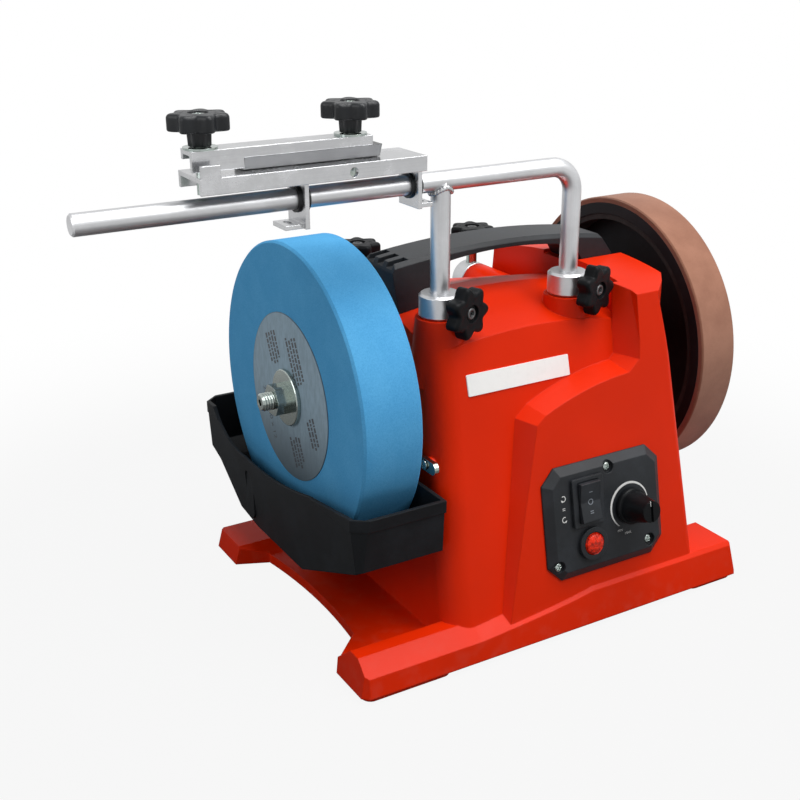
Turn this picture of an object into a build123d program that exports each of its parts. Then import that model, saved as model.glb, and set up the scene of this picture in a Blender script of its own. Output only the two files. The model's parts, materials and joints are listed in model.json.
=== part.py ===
from build123d import *
import os
from math import atan, cos, radians, sin

os.makedirs("parts", exist_ok=True)

# Datums: the shaft runs along X, the control panel faces -Y, the feet stand on Z = 0
stone_face_x = -79.25
shaft_y = 14.7965
shaft_z = 145.0

# Fits and gaps
run_fit = 0.05
free_gap = 0.3

# Shaft and wheels
shaft_d = 12.0
stone_d = 200.0
stone_w = 40.0
label_d = 110.0
label_t = 0.6
nut_flats = 19.0
nut_t = 9.0
washer_t = 3.0
thread_out = 8.0
inner_flange_d = 60.0
outer_washer_d = 37.0
honing_d = 198.0
honing_w = 29.5
honing_x = stone_face_x + 260.5
tread_t = 4.0
rim_t = 8.0
drive_ring_t = 4.0
web_t = 7.0
roller_d = 16.0

# Housing walls
wall = 3.2
foot_z = 18.6
wall_start_z = foot_z - 4.0
left_foot_x = stone_face_x + 46.0
left_lean = 0.078
right_foot_x = stone_face_x + 238.0
right_lean = 0.067
front_foot_y = shaft_y - 125.0
front_lean = 0.27
back_foot_y = shaft_y + 87.0
back_lean = 0.117
corner_r = 16.0
field_foot_y = shaft_y - 131.0
field_lean = 0.195
body_top_z = 226.0
crown_z = 208.0
crown_y = shaft_y - 19.0
front_fall = 0.262
back_fall = 0.27
ridge_cut = 1.8
arch_x = stone_face_x + 132.0
arch_r = 430.0
shoulder_right_x = stone_face_x + 240.0
shoulder_top_z = 215.0
shoulder_front_z = 206.0
shoulder_back_z = 203.0

# Base
base_under_z = 3.6
base_plate_z = 10.5
back_foot_z = 17.0
pad_z = 0.6
base_x0 = -22.5
base_x1 = 275.5
base_y0 = -136.5
base_y1 = 90.0

# Support bar
bar_d = 12.0
bar_y = shaft_y - 62.0
bar_z = 286.3
bar_end_x = stone_face_x - 144.5
leg_left_x = stone_face_x + 74.1
leg_spacing = 97.2
leg_right_x = leg_left_x + leg_spacing
leg_to_shoulder = 30.7
shoulder_x = leg_right_x + leg_to_shoulder
bend_r = 16.0
leg_foot_z = 158.0
collar_d = 26.0
collar_h = 15.0
collar_z = 203.8
knob_turn = 18.0
knob_z = collar_z + 6.3

# Star knobs
star_d = 33.0
star_t = 9.0
star_lobe_r = 4.6
star_neck_d = 12.0
clamp_neck_h = 3.4
jig_neck_h = 8.0
stud_d = 8.0

# Rear collars
rear_z = 177.0
rear_y = shaft_y + 72.0
rear_left_x = stone_face_x + 94.0

# Trough
trough_x0 = stone_face_x - 15.0
trough_x1 = stone_face_x + 46.8
trough_rim_z = 107.8
trough_wall = 2.6
trough_half = stone_d / 2
trough_floor_z = shaft_z - stone_d / 2 - 9.0
trough_knee_z = trough_floor_z + 37.0
rim_band = 8.0
rim_step = 0.8
groove_in = 3.4

# Panel, in the raised field's own plane
panel_w = 94.0
panel_h = 74.0
panel_x = stone_face_x + 162.7
panel_z = 73.3
panel_t = 5.0

# Jig
jig_left_x = stone_face_x - 73.0
jig_right_x = stone_face_x + 15.0
channel_x0 = stone_face_x - 80.0
channel_x1 = stone_face_x + 55.0
channel_w = 32.0
channel_z0 = 296.5
channel_z1 = 305.2
sheet = 2.5
bracket_left_x = stone_face_x - 18.0
bracket_right_x = stone_face_x + 53.5
clamp_z0 = 312.6
clamp_z1 = 318.0
clamp_w = 15.0


def left_x(z):
    return left_foot_x + (z - foot_z) * left_lean


def right_x(z):
    return right_foot_x - (z - foot_z) * right_lean


def front_y(z):
    return front_foot_y + (z - foot_z) * front_lean


def back_y(z):
    return back_foot_y - (z - foot_z) * back_lean


def field_y(z):
    return field_foot_y + (z - foot_z) * field_lean


def across_x(x, y=shaft_y, z=shaft_z):
    return Plane(origin=(x, y, z), x_dir=(0, 1, 0), z_dir=(1, 0, 0))


def save(piece, name):
    piece.part.label = name
    export_step(piece.part, f"parts/{name}.step")


def ring(plane, outer_d, inner_d, length, edge=0.0):
    """Disc, washer or tube standing on a plane, with its outer edges broken."""
    with BuildPart() as piece:
        with BuildSketch(plane):
            Circle(outer_d / 2)
            if inner_d:
                Circle(inner_d / 2, mode=Mode.SUBTRACT)
        extrude(amount=length)
        if edge:
            rims = piece.edges().filter_by(GeomType.CIRCLE)
            chamfer(rims.filter_by(lambda e: abs(e.radius - outer_d / 2) < 0.01), edge)
    return piece


def hex_nut(plane, flats, bore, height):
    with BuildPart() as piece:
        with BuildSketch(plane):
            RegularPolygon(flats / 2, 6, major_radius=False)
            Circle(bore / 2, mode=Mode.SUBTRACT)
        extrude(amount=height)
        with BuildSketch(plane):
            Circle(flats / 2 * 1.09)
        extrude(amount=height, mode=Mode.INTERSECT)
    return piece


def star_knob(plane, neck_h):
    """Seven-lobed knob: neck from the plane up, lobed head above it, dished hub on top."""
    with BuildPart() as piece:
        with BuildSketch(plane.offset(neck_h)) as lobes:
            Circle(star_d / 2 - 3.6)
            with PolarLocations(star_d / 2 - star_lobe_r, 7):
                Circle(star_lobe_r)
            fillet(lobes.vertices(), 1.6)
        extrude(amount=star_t)
        outer = piece.faces().sort_by(Axis(plane.origin, plane.z_dir))[-1]
        chamfer(outer.edges(), 1.5)
        with BuildSketch(plane.offset(neck_h + star_t)):
            Circle(5.5)
        extrude(amount=-1.8, mode=Mode.SUBTRACT)
        with BuildSketch(plane):
            Circle(star_neck_d / 2)
        extrude(amount=neck_h)
        with BuildSketch(plane):
            Circle(stud_d / 2)
        extrude(amount=neck_h, mode=Mode.SUBTRACT)
    return piece


# Grinding stone with its label discs, clamped on the shaft's left end
bore_d = shaft_d + 2 * run_fit
outer_washer_x = stone_face_x - label_t - washer_t
stone_nut_x = outer_washer_x - nut_t
shaft_left_x = stone_nut_x - thread_out
flange_x = stone_face_x + stone_w + label_t
flange_t = 3.6

stone = ring(across_x(stone_face_x), stone_d, bore_d, stone_w, 1.5)
save(stone, "stone")

with BuildPart() as stone_labels:
    for x in (stone_face_x - label_t, stone_face_x + stone_w):
        with BuildSketch(across_x(x)):
            Circle(label_d / 2)
            Circle(bore_d / 2, mode=Mode.SUBTRACT)
        extrude(amount=label_t)
save(stone_labels, "stone_labels")

stone_washer = ring(across_x(outer_washer_x), outer_washer_d, bore_d, washer_t, 0.5)
save(stone_washer, "stone_washer")

stone_flange = ring(across_x(flange_x), inner_flange_d, bore_d, flange_t, 0.5)
save(stone_flange, "stone_flange")

stone_nut = hex_nut(across_x(stone_nut_x), nut_flats, bore_d, nut_t)
save(stone_nut, "stone_nut")

# Honing wheel: dished core, leather tread, rubber ring that the motor roller drives
hub_x = honing_x + 2.0
hub_end_x = honing_x + honing_w - 2.0
rim_r = honing_d / 2 - tread_t
drive_r = rim_r - rim_t - drive_ring_t
hub_d = 36.0
honing_nut_x = hub_end_x + washer_t
shaft_right_x = honing_nut_x + nut_t + 3.0

with BuildPart() as honing_core:
    with BuildSketch(Plane(origin=(honing_x, shaft_y, shaft_z), x_dir=(1, 0, 0), z_dir=(0, -1, 0))):
        with Locations((honing_w / 2, rim_r - rim_t / 2)):
            Rectangle(honing_w, rim_t)
        with Locations((honing_w - 3.0 - web_t / 2, (rim_r + hub_d / 2 - 4.0) / 2)):
            Rectangle(web_t, rim_r - hub_d / 2)
        with Locations(((hub_end_x + hub_x) / 2 - honing_x, (hub_d + bore_d) / 4)):
            Rectangle(hub_end_x - hub_x, (hub_d - bore_d) / 2)
    revolve(axis=Axis((honing_x, shaft_y, shaft_z), (1, 0, 0)))
save(honing_core, "honing_core")

leather_tread = ring(across_x(honing_x), honing_d, 2 * rim_r, honing_w, 1.0)
save(leather_tread, "leather_tread")

drive_ring = ring(across_x(honing_x + 1.0), 2 * (rim_r - rim_t), 2 * drive_r, 16.0)
save(drive_ring, "drive_ring")

honing_washer = ring(across_x(hub_end_x), 34, bore_d, washer_t, 0.5)
save(honing_washer, "honing_washer")

honing_nut = hex_nut(across_x(honing_nut_x), nut_flats, bore_d, nut_t)
save(honing_nut, "honing_nut")

# Main shaft in its two bearing bushes
bush_d = 20.0
bush_left_x = stone_face_x + 47.5
bush_left_len = 18.0
bush_right_x = stone_face_x + 233.0
bush_right_len = 17.0
collar_shaft_d = 18.0

with BuildPart() as main_shaft:
    with BuildSketch(across_x(shaft_left_x)):
        Circle(shaft_d / 2)
    extrude(amount=shaft_right_x - shaft_left_x)
    chamfer(main_shaft.edges().filter_by(GeomType.CIRCLE), 1.2)
    with BuildSketch(across_x(shaft_left_x)):
        Circle(2.2)
    extrude(amount=5.0, mode=Mode.SUBTRACT)
    with BuildSketch(across_x(flange_x + flange_t)):
        Circle(collar_shaft_d / 2)
    extrude(amount=bush_left_x - free_gap - flange_x - flange_t)
    with BuildSketch(across_x(bush_right_x + bush_right_len + free_gap)):
        Circle(collar_shaft_d / 2)
    extrude(amount=hub_x - bush_right_x - bush_right_len - free_gap)
save(main_shaft, "main_shaft")

bush_left = ring(across_x(bush_left_x), bush_d, bore_d, bush_left_len)
save(bush_left, "bush_left")

bush_right = ring(across_x(bush_right_x), bush_d, bore_d, bush_right_len)
save(bush_right, "bush_right")

# Motor under the shaft, its roller running inside the drive ring
motor_z = shaft_z - (drive_r - roller_d / 2 - free_gap)
motor_d = 78.0
motor_face_x = stone_face_x + 221.0
motor_len = 104.0
spindle_d = 8.0
roller_x = honing_x + 2.0
roller_len = 14.0

with BuildPart() as motor:
    with BuildSketch(across_x(motor_face_x - motor_len, shaft_y, motor_z)):
        Circle(motor_d / 2)
    extrude(amount=motor_len)
    chamfer(motor.edges().filter_by(GeomType.CIRCLE), 4.0)
    with BuildSketch(across_x(motor_face_x - 30.0, shaft_y, motor_z)):
        Circle(spindle_d / 2 + run_fit)
    extrude(amount=31.0, mode=Mode.SUBTRACT)
save(motor, "motor")

motor_spindle = ring(across_x(motor_face_x - 29.5, shaft_y, motor_z), spindle_d, 0,
                     roller_x + roller_len + 1.0 - motor_face_x + 29.5, 0.6)
save(motor_spindle, "motor_spindle")

drive_roller = ring(across_x(roller_x, shaft_y, motor_z), roller_d, spindle_d, roller_len, 0.8)
save(drive_roller, "drive_roller")

# Planes of the leaning front
field_turn = atan(field_lean)


def field_plane(x, z, proud=0.0):
    """Plane on the raised field at x and z, facing out of the housing."""
    out = Vector(0, -cos(field_turn), sin(field_turn))
    return Plane(origin=Vector(x, field_y(z), z) + out * proud, x_dir=(1, 0, 0), z_dir=out)


def body_form(inset, front, radius, start_z):
    """Housing walls from a level in the base to above the top, drawn in by inset."""
    with BuildPart() as form:
        for z in (start_z, body_top_z):
            x0 = left_x(z) + inset
            x1 = right_x(z) - inset
            y0 = front(z) + inset
            y1 = back_y(z) - inset
            with BuildSketch(Plane.XY.offset(z)):
                with Locations(((x0 + x1) / 2, (y0 + y1) / 2)):
                    RectangleRounded(x1 - x0, y1 - y0, radius)
        loft()
    return form.part


def crown_form(drop):
    """Arched top: one slope falls to the front, one to the back, with a level strip between them."""
    half = 160.0
    sag = arch_r - (arch_r ** 2 - half ** 2) ** 0.5
    with BuildPart() as form:
        for fall, top, mode in ((-front_fall, crown_z, Mode.ADD), (back_fall, crown_z, Mode.INTERSECT),
                                (0.0, crown_z - ridge_cut, Mode.INTERSECT)):
            turn = atan(fall)
            slope = Plane(origin=(arch_x, crown_y, top - drop), x_dir=(-1, 0, 0),
                          z_dir=(0, cos(turn), -sin(turn)))
            with BuildSketch(slope):
                with BuildLine():
                    arc = ThreePointArc((-half, -sag), (0, 0), (half, -sag))
                    Polyline(arc @ 1, (half, -260), (-half, -260), arc @ 0)
                make_face()
            extrude(amount=180.0, both=True, mode=mode)
    return form.part


def shoulder_cap(x0, x1):
    """Everything under the shoulder's curved top, between two places along X."""
    with BuildPart() as cap:
        with BuildSketch(across_x(x0, 0, 0)):
            with BuildLine():
                edge = ThreePointArc((field_y(shoulder_front_z), shoulder_front_z),
                                     (shaft_y - 26.0, shoulder_top_z),
                                     (back_y(shoulder_back_z), shoulder_back_z))
                Polyline(edge @ 1, (back_y(0), 0), (field_y(0), 0), edge @ 0)
            make_face()
        extrude(amount=x1 - x0)
    return cap.part


field_step_x = shoulder_x - stone_face_x


def field_point(x, z):
    return (stone_face_x + x, (z - foot_z) / cos(field_turn))


# Raised field of the front, bevelled back into the wall behind it
field_clip = body_form(0.0, field_y, 5.0, wall_start_z)
field_cap = shoulder_cap(left_foot_x, right_foot_x)
with BuildPart() as raised_field:
    with BuildSketch(field_plane(0, foot_z)):
        with BuildLine():
            Line(field_point(84, 15), field_point(117, 138))
            Line(field_point(117, 138), field_point(124, 143))
            ThreePointArc(field_point(124, 143), field_point(158, 153.5),
                          field_point(field_step_x - 10, 158))
            Line(field_point(field_step_x - 10, 158), field_point(field_step_x - 1, 165))
            Line(field_point(field_step_x - 1, 165), field_point(field_step_x + 4, 222))
            Line(field_point(field_step_x + 4, 222), field_point(field_step_x + 14, 222))
            ThreePointArc(field_point(field_step_x + 14, 222), field_point(230, 132), field_point(237, 15))
            Line(field_point(237, 15), field_point(84, 15))
        make_face()
    extrude(amount=-18.0, taper=-25)
    add(field_clip, mode=Mode.INTERSECT)
    add(field_cap, mode=Mode.INTERSECT)

# Shoulder over the drive side, its right part hanging out over the wall
shoulder_block = shoulder_cap(shoulder_x, shoulder_right_x)
with BuildPart() as shoulder:
    add(shoulder_block)
    with BuildSketch(Plane.XY.offset(150)):
        with BuildLine():
            Polyline((shoulder_x, field_y(140)), (shoulder_x + 14, field_y(140)),
                     (shoulder_x + 17, field_y(200)), (shoulder_right_x - 8, shaft_y - 84),
                     (shoulder_right_x, shaft_y - 74), (shoulder_right_x, back_foot_y - 8),
                     (shoulder_x, back_foot_y), close=True)
        make_face()
    extrude(amount=100, mode=Mode.INTERSECT)
    with BuildSketch(Plane.XZ):
        with BuildLine():
            Polyline((right_x(166), 166), (shoulder_right_x + 1, 180), (shoulder_right_x + 1, 149),
                     (right_x(149), 149), close=True)
        make_face()
    extrude(amount=200, both=True, mode=Mode.SUBTRACT)

# Base: thin plate hollowed at the sides, a rail along the front that is low on the left and high on the
# right, and two back feet
def base_point(x, y):
    return (stone_face_x + x, shaft_y + y)


low_rail = ((-141, 0), (-141, 11.5), (-120.5, 23.2), (-111, 23.2), (-96, base_plate_z), (-96, 0))
high_rail = ((-141, 0), (-141, 14.5), (-129.4, 26.7), (-97, 26.7), (-88, base_plate_z), (-88, 0))
back_rail = ((42, 0), (42, base_plate_z), (54, back_foot_z), (100, back_foot_z), (100, 0))
plate_side = ((-141, 0), (-141, base_plate_z), (100, base_plate_z), (100, 0))
rail_low_x = stone_face_x + 62.0
rail_high_x = stone_face_x + 150.0
past_base = 300.0

with BuildPart() as base_profile:
    for profile, x, far in ((low_rail, rail_low_x, -past_base), (high_rail, rail_high_x, past_base)):
        with BuildSketch(across_x(x, shaft_y, 0)):
            with BuildLine():
                Polyline(*profile, close=True)
            make_face()
        extrude(amount=far)
    for profile, x in ((low_rail, rail_low_x), (high_rail, rail_high_x)):
        with BuildSketch(across_x(x, shaft_y, 0)):
            with BuildLine():
                Polyline(*profile, close=True)
            make_face()
    loft()
    for profile in (back_rail, plate_side):
        with BuildSketch(across_x(0, shaft_y, 0)):
            with BuildLine():
                Polyline(*profile, close=True)
            make_face()
        extrude(amount=past_base, both=True)

with BuildPart() as base:
    with BuildSketch(Plane.XY.offset(base_under_z)) as base_outline:
        with Locations(base_point((base_x0 + base_x1) / 2, (base_y0 + base_y1) / 2)):
            Rectangle(base_x1 - base_x0, base_y1 - base_y0)
        chamfer(base_outline.vertices(), 4.0)
    extrude(amount=26.0, taper=13)
    add(base_profile.part, mode=Mode.INTERSECT)
    for outside, foot_front, waist, foot_back in ((-42, (2.5, -77), (5.5, -14), (-0.5, 44)),
                                                  (295, (249, -58), (242, -4), (249, 46))):
        with BuildSketch(Plane.XY):
            with BuildLine():
                ThreePointArc(base_point(*foot_front), base_point(*waist), base_point(*foot_back))
                Polyline(base_point(*foot_back), base_point(outside, foot_back[1] + 18),
                         base_point(outside, foot_front[1] - 43), base_point(*foot_front))
            make_face()
        extrude(amount=30.0, mode=Mode.SUBTRACT)
    for x, y, w, d in ((10, -118, 60, 33), (252.5, -116, 39, 36), (-2, 71.5, 34, 30), (253, 71.5, 36, 30)):
        with BuildSketch(Plane.XY.offset(pad_z)):
            with Locations(base_point(x, y)):
                RectangleRounded(w, d, 6)
        extrude(amount=base_under_z - pad_z + 0.5)

# Places that the housing shares with the pieces it carries
strip_t = 3.0
strip_h = 8.0
strip_z = 119.0
strip_x = left_x(strip_z) - strip_t - 1.2
strip_len = 62.0
strip_front_y = shaft_y - 97.0
strip_back_y = shaft_y + 14.0
strip_bolts = (12.0, 50.0)
handle_y = shaft_y - 14.0
handle_w = 36.0
handle_foot_z = 190.0
handle_seat_z = 211.5
handle_foot_x = stone_face_x + 82.0
handle_seat_x = stone_face_x + 224.0
handle_stud_d = 5.0
handle_stud_in = 8.0
gland_x = stone_face_x + 205.0
gland_z = 42.0
gland_d = 16.0
panel_open = (0.15, 0.6, 55.3, 53.2)
panel_screw_spots = ((3.0, 30.1), (-40.2, -26.9), (33.2, -26.1))
screw_d = 2.8
plate_spots = ((59, -107), (225, -107), (59, 69), (225, 69))
foot_spots = ((8, -114), (252, -114), (-2, 71.5), (254, 71.5))
foot_d = 22.0
foot_h = 4.0
front_legs = (leg_left_x, leg_right_x)
rear_spots = (rear_left_x, rear_left_x + leg_spacing)
rear_bore_depth = 34.0

outer_walls = body_form(0.0, front_y, corner_r, base_under_z)
outer_crown = crown_form(0.0)
inner_walls = body_form(wall, front_y, corner_r - wall, wall_start_z)
inner_crown = crown_form(wall)

with BuildPart() as cavity:
    add(inner_walls)
    add(inner_crown, mode=Mode.INTERSECT)
    with BuildSketch(Plane.XY.offset(handle_foot_z - 10.0)):
        with Locations((handle_foot_x - 14.0, handle_y)):
            Rectangle(64.0, handle_w + 10.0)
    extrude(amount=60.0, mode=Mode.SUBTRACT)

with BuildPart() as housing:
    add(outer_walls)
    add(outer_crown, mode=Mode.INTERSECT)
    add(raised_field.part)
    add(shoulder.part)
    add(base.part)
    # Bosses for the support bar's legs
    for x in front_legs:
        with BuildSketch(Plane((x, bar_y, collar_z))):
            Circle(collar_d / 2 + 2.0)
        extrude(amount=-42.0, taper=-6)
    add(cavity.part, mode=Mode.SUBTRACT)
    # Opening in the base under the cavity
    with BuildSketch(Plane.XY):
        with Locations(base_point(142, -19)):
            Rectangle(156, 168)
    extrude(amount=foot_z, mode=Mode.SUBTRACT)
    # Bosses for the bearing bushes and the motor
    with BuildSketch(across_x(bush_left_x)):
        Circle(bush_d / 2 + 8.0)
    extrude(amount=bush_left_len)
    with BuildSketch(across_x(bush_right_x - 10.0)):
        Circle(bush_d / 2 + 8.0)
    extrude(amount=bush_right_len + 10.0)
    with BuildSketch(across_x(motor_face_x, shaft_y, motor_z)):
        Circle(28.0)
    extrude(amount=right_x(motor_z) + 2.0 - motor_face_x)
    # Bosses for the rear collars
    for x in rear_spots:
        with BuildSketch(Plane(origin=(x, rear_y, rear_z), x_dir=(1, 0, 0), z_dir=(0, -1, 0))):
            Circle(collar_d / 2)
        extrude(amount=rear_bore_depth + 4.0)
    # Bosses behind the trough strips
    for y in (strip_front_y, strip_back_y):
        for along in strip_bolts:
            with BuildSketch(across_x(strip_x + strip_t, y + along, strip_z)):
                Circle(4.0)
            extrude(amount=10.0)
    # Seats of the handle
    with BuildSketch(Plane.XY.offset(handle_foot_z)):
        with Locations((handle_foot_x - 10.0, handle_y)):
            Rectangle(44.0, handle_w + 1.0)
    extrude(amount=40.0, mode=Mode.SUBTRACT)
    with BuildSketch(Plane.XY.offset(handle_seat_z)):
        with Locations((handle_seat_x, handle_y)):
            Rectangle(48.0, handle_w + 1.0)
    extrude(amount=40.0, mode=Mode.SUBTRACT)
    for x, z in ((handle_foot_x, handle_foot_z), (handle_seat_x, handle_seat_z)):
        with BuildSketch(Plane((x, handle_y, z))):
            Circle(handle_stud_d / 2)
        extrude(amount=-handle_stud_in, mode=Mode.SUBTRACT)
    # Bores
    for x in front_legs:
        with BuildSketch(Plane((x, bar_y, collar_z + 1.0))):
            Circle(bar_d / 2 + 0.5)
        extrude(amount=-70.0, mode=Mode.SUBTRACT)
    for x, length in ((bush_left_x, bush_left_len), (bush_right_x, bush_right_len)):
        with BuildSketch(across_x(x)):
            Circle(bush_d / 2)
        extrude(amount=length, mode=Mode.SUBTRACT)
    with BuildSketch(across_x(bush_right_x - 12.0)):
        Circle(shaft_d / 2 + 1.0)
    extrude(amount=20.0, mode=Mode.SUBTRACT)
    with BuildSketch(across_x(motor_face_x - 1.0, shaft_y, motor_z)):
        Circle(spindle_d / 2 + 3.0)
    extrude(amount=40.0, mode=Mode.SUBTRACT)
    for x in rear_spots:
        with BuildSketch(Plane(origin=(x, rear_y + 1.0, rear_z), x_dir=(1, 0, 0), z_dir=(0, -1, 0))):
            Circle(bar_d / 2 + 0.5)
        extrude(amount=rear_bore_depth + 1.0, mode=Mode.SUBTRACT)
    with BuildSketch(Plane(origin=(gland_x, back_foot_y + 5, gland_z), x_dir=(1, 0, 0), z_dir=(0, -1, 0))):
        Circle(gland_d / 2)
    extrude(amount=30.0, mode=Mode.SUBTRACT)
    with BuildSketch(field_plane(panel_x, panel_z, 4.0)):
        with Locations(panel_open[:2]):
            Rectangle(*panel_open[2:])
    extrude(amount=-26.0, mode=Mode.SUBTRACT)
    # Screw holes
    with BuildSketch(field_plane(panel_x, panel_z)):
        with Locations(*panel_screw_spots):
            Circle(screw_d / 2)
    extrude(amount=-7.0, mode=Mode.SUBTRACT)
    for y in (strip_front_y, strip_back_y):
        for along in strip_bolts:
            with BuildSketch(across_x(strip_x, y + along, strip_z)):
                Circle(2.0)
            extrude(amount=12.0, mode=Mode.SUBTRACT)
    with BuildSketch(Plane.XY):
        with Locations(*[base_point(*spot) for spot in plate_spots]):
            Circle(2.0)
    extrude(amount=14.0, mode=Mode.SUBTRACT)
    with BuildSketch(Plane.XY):
        with Locations(*[base_point(*spot) for spot in foot_spots]):
            Circle(foot_d / 2)
    extrude(amount=foot_h, mode=Mode.SUBTRACT)
save(housing, "housing")

# Rubber feet, bottom plate and its screws
plate_t = 1.6
plate_screw_d = 4.0

with BuildPart() as rubber_feet:
    with BuildSketch(Plane.XY):
        with Locations(*[base_point(*spot) for spot in foot_spots]):
            Circle(foot_d / 2)
    extrude(amount=foot_h)
save(rubber_feet, "rubber_feet")

with BuildPart() as bottom_plate:
    with BuildSketch(Plane.XY.offset(base_under_z - plate_t)):
        with Locations(base_point(142, -19)):
            RectangleRounded(176, 188, 4)
        with Locations(*[base_point(*spot) for spot in plate_spots]):
            Circle(plate_screw_d / 2, mode=Mode.SUBTRACT)
        with Locations(*[base_point(170 + 12 * i, -6) for i in range(4)]):
            SlotOverall(60, 5, rotation=90, mode=Mode.SUBTRACT)
    extrude(amount=plate_t)
save(bottom_plate, "bottom_plate")

with BuildPart() as plate_screws:
    with BuildSketch(Plane.XY.offset(base_under_z - plate_t)):
        with Locations(*[base_point(*spot) for spot in plate_spots]):
            Circle(plate_screw_d / 2)
    extrude(amount=10.0)
    with BuildSketch(Plane.XY.offset(base_under_z - plate_t)):
        with Locations(*[base_point(*spot) for spot in plate_spots]):
            Circle(3.6)
    extrude(amount=-1.2)
save(plate_screws, "plate_screws")


# Handle: strap over the top, its left end a pillar with three grip notches
def handle_point(x, z):
    return (stone_face_x + x, z)


handle_side = Plane(origin=(0, handle_y, 0), x_dir=(1, 0, 0), z_dir=(0, -1, 0))
with BuildPart() as handle:
    with BuildSketch(handle_side):
        with BuildLine():
            Polyline(handle_point(64, handle_foot_z), handle_point(58.5, 225), handle_point(61, 230.4))
            ThreePointArc(handle_point(61, 230.4), handle_point(140, 236), handle_point(221, 230))
            Polyline(handle_point(221, 230), handle_point(232, 216), handle_point(232, handle_seat_z),
                     handle_point(208, handle_seat_z), handle_point(200, 225))
            ThreePointArc(handle_point(200, 225), handle_point(142, 231), handle_point(101, 228))
            Polyline(handle_point(101, 228), handle_point(93, 219), handle_point(93, handle_foot_z),
                     handle_point(64, handle_foot_z))
        make_face()
    extrude(amount=handle_w / 2, both=True)
    top_face = handle.faces().filter_by(GeomType.CYLINDER).sort_by(Axis.Z)[-1]
    chamfer(top_face.edges().filter_by(GeomType.CIRCLE), 2.5)
    with BuildSketch(Plane.XY.offset(240)):
        with Locations(*[(stone_face_x + 63.0, handle_y + step) for step in (-11.5, 0.0, 11.5)]):
            Rectangle(18.0, 6.5)
    extrude(amount=-13.0, mode=Mode.SUBTRACT)
    for x, z in ((handle_foot_x, handle_foot_z), (handle_seat_x, handle_seat_z)):
        with BuildSketch(Plane((x, handle_y, z))):
            Circle(handle_stud_d / 2)
        extrude(amount=10.0, mode=Mode.SUBTRACT)
save(handle, "handle")

with BuildPart() as handle_studs:
    for x, z in ((handle_foot_x, handle_foot_z), (handle_seat_x, handle_seat_z)):
        with BuildSketch(Plane((x, handle_y, z - handle_stud_in))):
            Circle(handle_stud_d / 2)
        extrude(amount=handle_stud_in + 10.0)
save(handle_studs, "handle_studs")

# Trough strips on the left wall with their screws
with BuildPart() as trough_strips:
    for y in (strip_front_y, strip_back_y):
        with BuildSketch(across_x(strip_x, y, strip_z)):
            with Locations((strip_len / 2, 0)):
                SlotOverall(strip_len, strip_h)
            with Locations(*[(along, 0) for along in strip_bolts]):
                Circle(2.0, mode=Mode.SUBTRACT)
        extrude(amount=strip_t)
save(trough_strips, "trough_strips")

with BuildPart() as strip_screws:
    for y in (strip_front_y, strip_back_y):
        for along in strip_bolts:
            with BuildSketch(across_x(strip_x, y + along, strip_z)):
                Circle(2.0)
            extrude(amount=11.0)
            with BuildSketch(across_x(strip_x, y + along, strip_z)):
                Circle(3.4)
            extrude(amount=-1.6)
save(strip_screws, "strip_screws")


# Water trough with two lugs that hang over the strips
def trough_form(inset, top):
    """Closed trough form; drawn in by inset and carried up to top for the water space."""
    rise = (top - trough_knee_z) / (trough_rim_z - trough_knee_z)
    with BuildPart() as form:
        with BuildSketch(across_x(trough_x0, shaft_y, 0)):
            with BuildLine():
                Polyline((trough_half + 15 + 3 * rise, top), (trough_half + 15, trough_knee_z),
                         (trough_half - 2, trough_floor_z + 30), (trough_half - 32, trough_floor_z + 4),
                         (trough_half - 60, trough_floor_z), (70 - trough_half, trough_floor_z),
                         (-trough_half, trough_floor_z + 31), (-trough_half - 13, trough_knee_z),
                         (-trough_half - 13 - 2 * rise, top), close=True)
            make_face()
            if inset:
                offset(amount=-inset, kind=Kind.INTERSECTION)
        extrude(amount=trough_x1 - trough_x0)
        with BuildSketch(Plane.XY):
            with BuildLine():
                Polyline((trough_x0 + inset, shaft_y - trough_half - 8),
                         (trough_x0 + 11 + inset / 2, shaft_y - trough_half - 16),
                         (trough_x1 - inset, shaft_y - trough_half - 16),
                         (trough_x1 - inset, shaft_y + trough_half + 19),
                         (trough_x0 + 11 + inset / 2, shaft_y + trough_half + 19),
                         (trough_x0 + inset, shaft_y + trough_half + 10), close=True)
            make_face()
        extrude(amount=top + 20, mode=Mode.INTERSECT)
        with BuildSketch(Plane.XZ.offset(-200)):
            with BuildLine():
                Polyline((trough_x0 + inset, top + 20), (trough_x0 + inset, trough_floor_z + 62),
                         (trough_x0 + 5 + inset, trough_floor_z - 6), (trough_x1 + 1, trough_floor_z - 6),
                         (trough_x1 + 1, top + 20), close=True)
            make_face()
        extrude(amount=400, mode=Mode.INTERSECT)
    return form.part


trough_outer = trough_form(0.0, trough_rim_z)
trough_lower = trough_form(rim_step, trough_rim_z)
trough_inner = trough_form(trough_wall, trough_rim_z + 12.0)
lug_w = 20.0
lug_z = strip_z + strip_h / 2 + run_fit
lug_t = 2.8

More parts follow.
